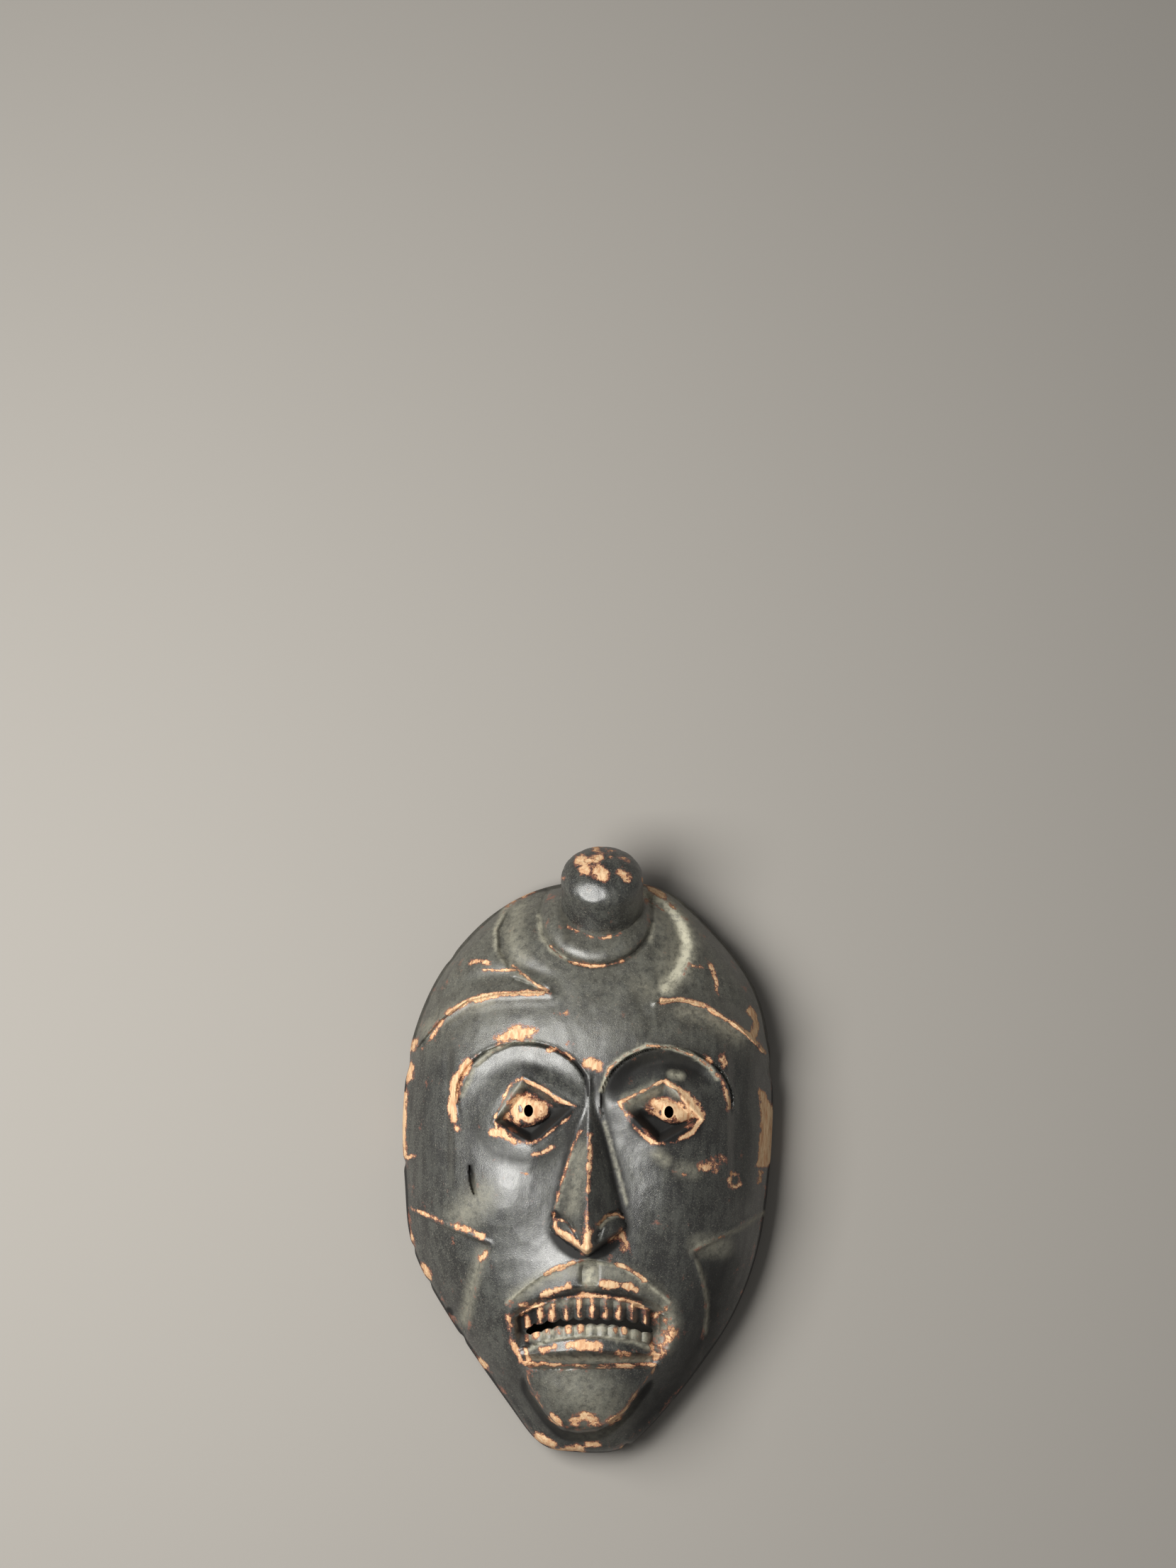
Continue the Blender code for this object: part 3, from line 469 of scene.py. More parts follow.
def eyes(x, y):
    """Diamond frames on a low mound, sunk inside, with an almond eyeball in each."""
    lift = np.zeros_like(x)
    for corners, middle, half_width, half_height, lean in EYEBALLS:
        depth_in = inside_distance(x, y, corners)
        lift += 4.2 * bell(np.minimum(depth_in, 0.0), 10.0)
        lift += 0.6 * bell(depth_in, 1.2)
        across = (x - middle[0]) / half_width
        up = (y - middle[1] - lean * (x - middle[0])) / half_height
        below = smooth((middle[1] + 1.0 - y) / 5.0)
        floor = (5.6 + 3.6 * below) * smooth((depth_in + 0.2) / (6.4 - 1.6 * below))
        reach = (np.abs(across) ** 1.7 + np.abs(up) ** 1.7) ** (1.0 / 1.7)
        ball = np.where(reach < 1.0, 8.6 - 6.4 * np.sqrt(np.clip(1.0 - reach**2, 0.0, 1.0)), 99.0)
        lift -= np.minimum(floor, np.maximum(ball, 0.0))
    for pupil_x, pupil_y in (LEFT_PUPIL, RIGHT_PUPIL):
        lift -= 1.3 * swell(x, y, (pupil_x - 3.6, pupil_y + 0.4), 1.8, 2.6)
    inner_corner = path_distance(x, y, ((15.6, 23.2), (32.0, 20.6)))
    return lift + 2.0 * bell(inner_corner, 1.3) * smooth((x - 15.0) / 4.0)


def nose_height(x, y):
    """Height of the wedge nose over the plain block; it is under the face where there is no nose."""
    along = np.clip((46.0 - y) / 96.0, 0.0, 1.0)
    ridge_x = 1.0 - 1.5 * along
    ridge = 1.0 + 24.0 * along**1.3
    side = np.abs(x - ridge_x)
    roof = ridge - 1.06 * side - 0.4 * bell(side, 1.2)
    lower_edge = -49.7 + 0.63 * side
    over_lip = smooth((y - lower_edge + 5.0) / 6.0)
    return (roof + 8.0) * over_lip - 8.0


def nostrils(x, y):
    """The rounded wings beside the tip, each set off by a curved cut."""
    cut = groove(x, y, ((-17.5, -31), (-10.5, -33.5), (-6.8, -38.6), (-4.3, -44)), 2.2, 2.2)
    cut += groove(x, y, ((4.4, -43.5), (6.4, -36.5), (11.5, -31.3), (17.5, -31.0)), 3.4, 2.6)
    return cut + 3.6 * swell(x, y, (14.0, -37.5), 6.4, 4.6) + 1.8 * swell(x, y, (-12.5, -38.0), 5.0, 3.6)


def jaws(x, y):
    """The two jaw planes, sunk behind the cheeks and the muzzle."""
    cut = np.zeros_like(x)
    for outline in (LEFT_JAW, RIGHT_JAW):
        depth_in = inside_distance(x, y, outline)
        cut -= 2.6 * step_at(depth_in, 1.4)
        cut += 0.5 * bell(depth_in + 1.4, 1.1)
    return cut


def mouth_rows(x):
    """Heights in Y of the lines across the mouth, from the upper lip's edge down to the chin plate."""
    off = np.clip(np.abs(x - FACE_MIDDLE) / 40.0, 0.0, 1.1)
    lip_edge = -54.5 - 20.0 * off**1.9
    lip_ridge = -66.5 - 13.5 * off**2
    gum = -71.0 - 12.0 * off**2
    bite = -84.3 - 8.5 * off**2.2
    lower_gum = -91.5 - 8.0 * off**2
    lower_ridge = -98.5 - 3.5 * off**2
    lower_edge = np.full_like(off, -103.5)
    return lip_edge, lip_ridge, gum, bite, lower_gum, lower_ridge, lower_edge


def between_teeth(x, teeth):
    """0 on the middle of each tooth and 1 between two teeth."""
    pitch, gap = teeth
    return np.abs(2.0 * (((x - gap) / pitch) % 1.0) - 1.0)


def mouth(x, y):
    """The open mouth: a sloping upper lip, bared teeth above and below the bite, and a lower lip."""
    lip_edge, lip_ridge, gum, bite, lower_gum, lower_ridge, lower_edge = mouth_rows(x)
    arch = ((x - FACE_MIDDLE) / 34.0) ** 2
    stops = (lip_edge, lip_ridge, gum, gum - 1.5, bite, lower_gum, lower_gum - 1.2, lower_ridge,
             lower_edge, lower_edge - 2.5)
    depths = (-0.8, -2.4, -7.2, -5.6, -8.0, -5.0, -6.4, -2.6, -6.6, -6.0)
    place = np.zeros_like(x)
    for upper, lower in zip(stops[:-1], stops[1:]):
        place += np.clip((upper - y) / (upper - lower), 0.0, 1.0)
    cut = np.interp(place, np.arange(len(depths)), depths) * step_at(lip_edge - y, 1.4)
    cut += 0.6 * bell(y - lip_edge - 0.6, 1.0)
    at_teeth = step_at(gum - 1.2 - y, 1.2) * step_at(y - lower_gum, 1.2)
    cut -= 3.4 * arch * at_teeth
    down = np.clip((gum - y) / 12.0, 0.0, 1.2)
    upper_gap = between_teeth(x, UPPER_TEETH)
    lower_gap = between_teeth(x, LOWER_TEETH)
    upper_row = step_at(gum - 1.0 - y, 1.2) * step_at(y - bite - 0.8 * upper_gap, 0.8)
    lower_row = step_at(bite - y, 0.8) * step_at(y - lower_gum, 1.2)
    behind_lower = step_at(bite + 0.6 - y, 0.6) * step_at(y - bite + 0.9 + 1.3 * lower_gap, 0.8)
    cut -= 2.0 * behind_lower * (1.0 - arch)
    cut -= upper_row * (2.4 + 1.0 * down) * upper_gap**0.9
    cut -= lower_row * (1.0 * lower_gap**1.3 + 0.8 * lower_gap**5)
    left_wall = np.interp(y, (-106, -100, -82, -73), (-33.5, -36.5, -41.0, -40.0))
    right_wall = np.interp(y, (-106, -97, -82, -73), (36.5, 41.5, 44.5, 43.0))
    wide = 7.0 + 3.0 * smooth((-72.0 - y) / 10.0)
    across = smooth((x - left_wall) / wide) * smooth((right_wall - x) / wide)
    philtrum = 2.0 * step_at(4.2 - np.abs(x - 0.6), 1.6) * step_at(y + 65.5, 2.0) * step_at(-54.5 - y, 1.6)
    above_chin = step_at(y + 107.0, 1.2)
    return (cut - philtrum) * across * above_chin


def chin(x, y):
    """The shield-shaped chin plate, proud of the chin, with the chin cut back beside and below it."""
    depth_in = inside_distance(x, y, CHIN_PLATE)
    below_mouth = smooth((-104.0 - y) / 36.0)
    plate = (4.6 + 6.4 * below_mouth) * step_at(depth_in, 1.8) + 1.2 * smooth(depth_in / 16.0)
    beside = 4.4 * step_at(-1.2 - depth_in, 2.4) * smooth((-104.0 - y) / 16.0)
    return plate - beside


def collar(x, y):
    """The round collar at the foot of the topknot."""
    share = np.hypot((x - COLLAR[0]) / COLLAR_HALF_WIDTH, (y - COLLAR[1]) / COLLAR_HALF_HEIGHT)
    to_edge = (1.0 - share) * COLLAR_HALF_WIDTH
    rounded = np.clip(to_edge / COLLAR_ROUND, 0.0, 1.0)
    undercut = 1.1 * bell(to_edge + 0.9, 0.9)
    return COLLAR_RISE * np.sqrt(1.0 - (1.0 - rounded) ** 2) - undercut


def damage(x, y):
    """A drying crack in the cheek, a small hole by the jaw, and a knot in the right cheek."""
    wander = 0.5 * hills(x, y, 2.2, seed=4)
    down = np.clip((-6.4 - y) / 15.8, 0.0, 1.0)
    across = x + 58.6 - 2.6 * down + 0.5 * wander
    half_width = 5.2 * down * (1.0 - down)
    cut = -3.4 * np.clip(1.0 - (across / np.maximum(half_width, 0.2)) ** 2, 0.0, 1.0) * (half_width > 0.2)
    cut += groove(x, y, ((-69, -79.5), (-68.6, -80.5)), 2.8, 2.6)
    ring = np.hypot(x - 72.0, y + 14.5) - 3.6 + 0.8 * wander
    return cut - 0.5 * bell(ring, 0.8) + 0.3 * swell(x, y, (72, -14.5), 2.4, 2.4)


def tool_marks(x, y):
    """Flats left by the knife, and fine wear over them."""
    marks = 0.30 * scoops(x + 2.0 * hills(x, y, 9.0, seed=3), y, 9.0, seed=11)
    return marks + 0.10 * hills(x, y, 6.0, seed=5) + 0.05 * hills(x, y * 0.6, 1.9, seed=6)


def face_height(x, y, share):
    """Height of the carved face in drawing units, from places and their share of the way to the rim."""
    block = SIDE_HEIGHT + DOME_HEIGHT * dome(share)
    relief = swells(x, y) + locks(x, y) + temples(x, y) + sockets(x, y) + eyes(x, y)
    relief += jaws(x, y) + mouth(x, y) + chin(x, y) + collar(x, y)
    nose = nose_height(x, y)
    relief = np.where(nose > relief, nose + nostrils(x, y), relief) + damage(x, y)
    fade = smooth((1.0 - share) / 0.05)
    return block + relief * fade + tool_marks(x, y) * smooth((1.0 - share) / 0.02) - 0.2


def place_share(x, y, inward=0.0):
    """Share of the way from the middle to the rim, or to a line inward of it, for each place."""
    angle = np.arctan2(y - MIDDLE[1], x - MIDDLE[0])
    return np.hypot(x - MIDDLE[0], y - MIDDLE[1]) / (rim_radius(angle) - inward)


def to_metres(x, y, z, sizes):
    """Places in drawing units to the real mask."""
    return np.stack(
        (x * sizes.width / DRAWN_WIDTH, y * sizes.length / DRAWN_LENGTH, z * sizes.depth / DRAWN_DEPTH),
        axis=-1,
    )


def spot(x, y, z, sizes):
    """One place in drawing units as a vector in metres."""
    return Vector(to_metres(np.array(float(x)), np.array(float(y)), np.array(float(z)), sizes))


def only(shape):
    """Select one object alone and make it active."""
    bpy.ops.object.select_all(action="DESELECT")
    shape.select_set(True)
    bpy.context.view_layer.objects.active = shape


def new_shape(name, add, **settings):
    """Add a primitive on its own and name it."""
    bpy.ops.object.select_all(action="DESELECT")
    add(**settings)
    shape = bpy.context.object
    shape.name = name
    shape.data.name = name
    return shape


def corners_of(shape):
    """The mesh's vertices as rows of numbers."""
    places = np.zeros(len(shape.data.vertices) * 3)
    shape.data.vertices.foreach_get("co", places)
    return places.reshape(-1, 3)


def set_corners(shape, places):
    """Move the mesh's vertices."""
    shape.data.vertices.foreach_set("co", np.asarray(places, float).ravel())
    shape.data.update()


def apply_modifier(shape, name, kind, **settings):
    """Give an object a modifier and apply it."""
    only(shape)
    step = shape.modifiers.new(name, kind)
    for setting, value in settings.items():
        setattr(step, setting, value)
    bpy.ops.object.modifier_apply(modifier=step.name)


def carve(shape, tool, operation):
    """Join or cut one shape with another, and remove the tool."""
    apply_modifier(shape, tool.name, "BOOLEAN", operation=operation, object=tool, solver="EXACT")
    bpy.data.objects.remove(tool)


def round_grid(across, up):
    """An even square grid rounded to a disc: turn and share of the way to the rim."""
    disc_x = across * np.sqrt(1.0 - 0.5 * up**2)
    disc_y = up * np.sqrt(1.0 - 0.5 * across**2)
    reach = np.minimum(np.hypot(disc_x, disc_y), 1.0)
    return np.arctan2(disc_y, disc_x), reach + 0.5 * (1.0 - reach) * reach**3


def faces_out():
    """Turn every face outwards and leave edit mode."""
    bpy.ops.mesh.select_all(action="SELECT")
    bpy.ops.mesh.normals_make_consistent(inside=False)
    bpy.ops.object.mode_set(mode="OBJECT")


def select_border():
    """Select the open border, in edit mode."""
    bpy.ops.mesh.select_mode(type="EDGE")
    bpy.ops.mesh.select_all(action="DESELECT")
    bpy.ops.mesh.select_non_manifold()


def border_down(shape, levels):
    """Extrude the open border down through the levels, each an inset and a height, and close it."""
    only(shape)
    bpy.ops.object.mode_set(mode="EDIT")
    select_border()
    for inset, height in levels:
        bpy.ops.mesh.extrude_edges_move()
        mesh = bmesh.from_edit_mesh(shape.data)
        for vertex in mesh.verts:
            if vertex.select:
                outward = Vector((vertex.co.x, vertex.co.y, 0.0)).normalized()
                vertex.co -= outward * inset
                vertex.co.z = height
        bmesh.update_edit_mesh(shape.data)
    bpy.ops.mesh.edge_face_add()
    faces_out()


def rim_sheet(name, columns, rows, inward):
    """A grid rounded to the rim's outline, or inward of it, with its turns, its shares, and X and Y."""
    shape = new_shape(
        name, bpy.ops.mesh.primitive_grid_add, x_subdivisions=columns, y_subdivisions=rows, size=2.0)
    grid = corners_of(shape)
    angle, share = round_grid(grid[:, 0], grid[:, 1])
    radius = rim_radius(angle) - inward
    x = MIDDLE[0] + share * radius * np.cos(angle)
    y = MIDDLE[1] + share * radius * np.sin(angle)
    return shape, angle, share, x, y


def carved_block(sizes, columns, rows):
    """The carved face on a solid block with a flat back."""
    shape, angle, share, x, y = rim_sheet("carved_mask", columns, rows, 0.0)
    pushed = sum(depth * swell(x, y, place, half_width, half_width) for place, half_width, depth in NICKS)
    pushed = pushed * share**8
    heights = face_height(x, y, share)
    x, y = x - pushed * np.cos(angle), y - pushed * np.sin(angle)
    set_corners(shape, to_metres(x, y, heights, sizes))
    side = SIDE_HEIGHT * sizes.depth / DRAWN_DEPTH
    levels = [(0.0, side * left) for left in (0.82, 0.64, 0.46, 0.28)]
    border_down(shape, levels + [(0.0, sizes.rim_chamfer), (sizes.rim_chamfer, 0.0)])
    return shape


def hollow_roof(share, sizes):
    """Height of the hollow's plain roof for each share of the way to its border."""
    return (SIDE_HEIGHT + DOME_HEIGHT - sizes.face_wall * DRAWN_DEPTH / sizes.depth) * dome(share)


def hollow_plug(sizes, columns, rows):
    """The round-ended shape that is taken out of the back, scooped all over by a gouge."""
    inward = sizes.rim_width * DRAWN_LENGTH / sizes.length
    shape, _, share, x, y = rim_sheet("hollow", columns, rows, inward)
    marks = 2.6 * scoops(x + 3.0 * hills(x, y, 14.0, seed=21), 0.7 * y, 11.0, seed=22)
    marks = marks * smooth((1.0 - share) / 0.2)
    set_corners(shape, to_metres(x, y, hollow_roof(share, sizes) - marks, sizes))
    border_down(shape, [(0.0, -0.004)])
    return shape


def topknot(sizes):
    """A stubby post with a round end and one knife-cut flat, leaning to the crown."""
    radius = TOPKNOT_RADIUS * sizes.width / DRAWN_WIDTH
    post = TOPKNOT_POST * sizes.length / DRAWN_LENGTH
    end = TOPKNOT_END * sizes.length / DRAWN_LENGTH
    shape = new_shape(
        "topknot", bpy.ops.mesh.primitive_uv_sphere_add, segments=112, ring_count=64, radius=radius)
    bpy.ops.object.mode_set(mode="EDIT")
    bpy.ops.mesh.select_all(action="SELECT")
    bpy.ops.mesh.bisect(plane_co=(0, 0, 0), plane_no=(0, 0, 1), clear_inner=True)
    bpy.ops.mesh.select_all(action="SELECT")
    bpy.ops.transform.resize(value=(1.0, 1.0, end / radius), center_override=(0.0, 0.0, 0.0))
    bpy.ops.transform.translate(value=(0.0, 0.0, post))
    select_border()
    for _ in range(12):
        bpy.ops.mesh.extrude_edges_move(TRANSFORM_OT_translate={"value": (0.0, 0.0, -post / 12)})
    bpy.ops.mesh.edge_face_add()
    bpy.ops.mesh.select_all(action="SELECT")
    flat = Vector(FLAT_NORMAL).normalized()
    place = spot(*FLAT_PLACE, sizes) + Vector((0.0, 0.0, post))
    place -= flat * FLAT_DEPTH * sizes.length / DRAWN_LENGTH
    bpy.ops.mesh.bisect(plane_co=place, plane_no=flat, use_fill=True, clear_outer=True)
    faces_out()
    apply_modifier(shape, "fine", "REMESH", mode="VOXEL", voxel_size=0.0007, use_smooth_shade=True)
    apply_modifier(shape, "worn", "SMOOTH", factor=0.5, iterations=14)
    places = corners_of(shape)
    normals = np.zeros(len(places) * 3)
    shape.data.vertices.foreach_get("normal", normals)
    turn = np.arctan2(places[:, 1], places[:, 0])
    marks = 0.0005 * scoops(22.0 * turn, places[:, 2] * 1000.0, 7.0, seed=31)
    set_corners(shape, places - normals.reshape(-1, 3) * marks[:, None])
    shape.rotation_euler = Euler((math.radians(-TOPKNOT_LEAN), 0.0, 0.0))
    shape.location = spot(*TOPKNOT_FOOT, sizes)
    only(shape)
    bpy.ops.object.transform_apply(location=True, rotation=True, scale=True)
    return shape


def pupil(name, place, sizes):
    """A drilled pupil, a little taller than wide, right through the wall."""
    middle = spot(*place, 0.0, sizes)
    return new_shape(
        name, bpy.ops.mesh.primitive_cylinder_add, vertices=40, radius=0.5 * sizes.pupil_bore,
        depth=sizes.depth, location=(middle.x, middle.y, 0.5 * sizes.depth + sizes.rim_chamfer),
        scale=(1.0, sizes.pupil_height / sizes.pupil_bore, 1.0))


def bite_opening(sizes):
    """The open bite between the teeth: pointed above, scalloped below, wider at both corners."""
    steps = 150
    shape = new_shape(
        "bite", bpy.ops.mesh.primitive_grid_add, x_subdivisions=steps, y_subdivisions=1, size=2.0)
    grid = corners_of(shape)
    share = 0.5 * grid[:, 0] + 0.5
    x = BITE_ENDS[0] + (BITE_ENDS[1] - BITE_ENDS[0]) * share
    off = np.abs(grid[:, 0])
    gap = sizes.teeth_gap + (sizes.corner_gap - sizes.teeth_gap) * off**2.5
    gap = gap * np.sqrt(1.0 - 0.98 * off**10)
    unit = sizes.length / DRAWN_LENGTH
    above = 1.5 * between_teeth(x, UPPER_TEETH) ** 2.2 - 0.35
    below = 0.9 * between_teeth(x, LOWER_TEETH) ** 2 - 0.25
    ends = smooth((1.0 - off) / 0.08)
    reach = np.where(grid[:, 1] > 0.0, 0.5 * gap + above * unit * ends, -0.5 * gap - below * unit * ends)
    places = to_metres(x, mouth_rows(x)[3], np.zeros_like(x), sizes)
    places[:, 1] += reach
    places[:, 2] = 2.0 * sizes.rim_chamfer
    set_corners(shape, places)
    only(shape)
    bpy.ops.object.mode_set(mode="EDIT")
    bpy.ops.mesh.select_all(action="SELECT")
    bpy.ops.mesh.extrude_region_move(TRANSFORM_OT_translate={"value": (0.0, 0.0, sizes.depth)})
    faces_out()
    return shape


def fit_box(shape):
    """Bring the mask inside the box of the part that it stands for, with the rim on its plane."""
    places = corners_of(shape)
    low, high = places.min(axis=0), places.max(axis=0)
    box_low, box_high = np.array(MASK_LOW), np.array(MASK_HIGH)
    set_corners(shape, box_low + (places - low) * (box_high - box_low) / (high - low))


def strongest(x, y, strokes):
    """How strongly a set of strokes covers each place: half of the strength at a stroke's edge."""
    cover = np.zeros_like(x)
    for strength, half_width, *values in strokes:
        points = tuple(zip(values[::2], values[1::2]))
        cover = np.maximum(cover, strength - strength * path_distance(x, y, points) / (2.0 * half_width))
    return cover


def blurred(heights, pitch, spread):
    """A height map made soft over the given spread."""
    rows, columns = np.fft.fftfreq(heights.shape[0]), np.fft.fftfreq(heights.shape[1])
    falloff = np.exp(-2.0 * (math.pi * spread / pitch) ** 2 * (rows[:, None] ** 2 + columns[None, :] ** 2))
    return np.real(np.fft.ifft2(np.fft.fft2(heights) * falloff))


def crests_and_hollows(x, y):
    """How far each place stands over, and lies under, the ground close by, in drawing units."""
    pitch, half_width, half_length = 0.5, 100.0, 160.0
    across = np.arange(-half_width, half_width, pitch)
    up = np.arange(-half_length, half_length, pitch)
    map_x, map_y = np.meshgrid(across, up)
    share = place_share(map_x, map_y)
    heights = face_height(map_x, map_y, np.minimum(share, 1.0))
    crest = heights - blurred(heights, pitch, 1.3)
    hollow = blurred(heights, pitch, 4.5) - blurred(heights, pitch, 0.8)
    column = np.clip((x + half_width) / pitch, 0, len(across) - 2)
    row = np.clip((y + half_length) / pitch, 0, len(up) - 2)
    left, lower = column.astype(int), row.astype(int)
    return [between_cells(chart, left, lower, column - left, row - lower) for chart in (crest, hollow)]


def mark_wear(shape, sizes):
    """Store where the wood is bare, dusty, sooty and inside, with painted shade and a painted sheen among
    them, for the finish to read.
    """
    places = corners_of(shape)
    x = places[:, 0] * DRAWN_WIDTH / sizes.width
    y = places[:, 1] * DRAWN_LENGTH / sizes.length
    z = places[:, 2] * DRAWN_DEPTH / sizes.depth
    share = place_share(x, y)
    ground = face_height(x, y, np.minimum(share, 1.0))
    crest, hollow = crests_and_hollows(x, y)
    inward = sizes.rim_width * DRAWN_LENGTH / sizes.length
    share_in = place_share(x, y, inward)
    roof = hollow_roof(share_in, sizes)
    under = (z < ground - 1.5) & (z < roof + 0.35 * np.maximum(ground - roof, 0.0) + 0.3)
    inner = (under & (share_in < 1.02)).astype(float)
    inner = np.maximum(inner, (z < 0.8).astype(float))
    on_knob = smooth((z - ground - 1.0) / 2.0) * (y > 90.0)
    on_face = (1.0 - on_knob) * (1.0 - inner)
    down_the_side = smooth((ground - 1.0 - z) / 8.0) * smooth((share - 0.97) / 0.02)
    bare = strongest(x, y, RUBBED) * (1.0 - down_the_side)
    bare = np.maximum(bare, 0.0) + np.clip(crest, 0.0, 0.6) * 0.3 * on_face
    for middle, half_width, half_height, lean in RUBBED_EYES:
        across = np.abs(x - middle[0]) / half_width
        up = np.abs(y - middle[1] - lean * (x - middle[0])) / half_height
        reach = (across**1.5 + up**1.5) ** (1.0 / 1.5)
        bare = np.maximum(bare, np.clip(2.2 - 1.5 * reach, 0.0, 1.4))
    bare = np.maximum(bare - strongest(x, y, GOUGED), 0.0)
    strip = inside_distance(x, y, EDGE_STRIP)
    bare = np.maximum(bare, np.clip(0.63 + 0.6 * strip, 0.0, 1.5) * (1.0 - down_the_side))
    gum, bite, lower_gum = (mouth_rows(x)[row] for row in (2, 3, 4))
    in_mouth = step_at(32.0 - np.abs(x - 1.0), 4.0)
    upper_crest = 1.0 - between_teeth(x + 0.5, UPPER_TEETH)
    upper_crest = upper_crest**2 * step_at(gum - 1.5 - y, 1.0) * step_at(y - bite - 2.0, 1.4) * in_mouth
    lower_crest = (1.0 - between_teeth(x, LOWER_TEETH)) * step_at(bite - 1.0 - y, 1.0)
    lower_crest = lower_crest * step_at(y - lower_gum - 2.0, 2.0) * in_mouth
    uneven = 0.45 * hills(x, y, 3.4, seed=41)
    bare = np.maximum(bare, (0.72 + 0.3 * smooth((8.0 - x) / 24.0) + uneven) * upper_crest)
    bare = np.maximum(bare, (0.5 + 0.45 * smooth((4.0 - x) / 12.0) + uneven) * lower_crest) * (1.0 - inner)
    film = 0.04 * smooth((y - 60.0) / 40.0) + 0.11 * smooth((y - 36.0) / 26.0)
    dust_and_sheen = np.maximum(strongest(x, y, DUST_AND_SHEEN), film) * on_face * (1.0 - down_the_side)
    # Painted shade: besides the strokes, each place is darkened by how far it lies under the ground close
    # by, as shade in the recesses
    soot_and_shade = np.maximum(strongest(x, y, SOOT_AND_SHADE), np.clip(hollow * 0.42, 0.0, 1.0)) * on_face
    soot_and_shade = soot_and_shade * (1.0 - 0.7 * down_the_side)
    for name, values in (("bare", bare), ("dust_and_sheen", dust_and_sheen), ("soot_and_shade", soot_and_shade), ("inner", inner)):
        layer = shape.data.attributes.new(name, "FLOAT", "POINT")
        layer.data.foreach_set("value", np.clip(values, 0.0, 1.5).astype(np.float32))


def add_node(tree, kind, inputs, output=0, **settings):
    """Add a node with its settings, its values and its links, and give back one of its outputs."""
    made = tree.nodes.new(kind)
    for setting, value in settings.items():
        setattr(made, setting, value)
    for name, source in inputs.items():
        socket = made.inputs[name]
        if isinstance(source, bpy.types.NodeSocket):
            tree.links.new(source, socket)
        elif socket.type == "RGBA":
            socket.default_value = (*source, 1.0)
        else:
            socket.default_value = source
    return made.outputs[output] if made.outputs else None


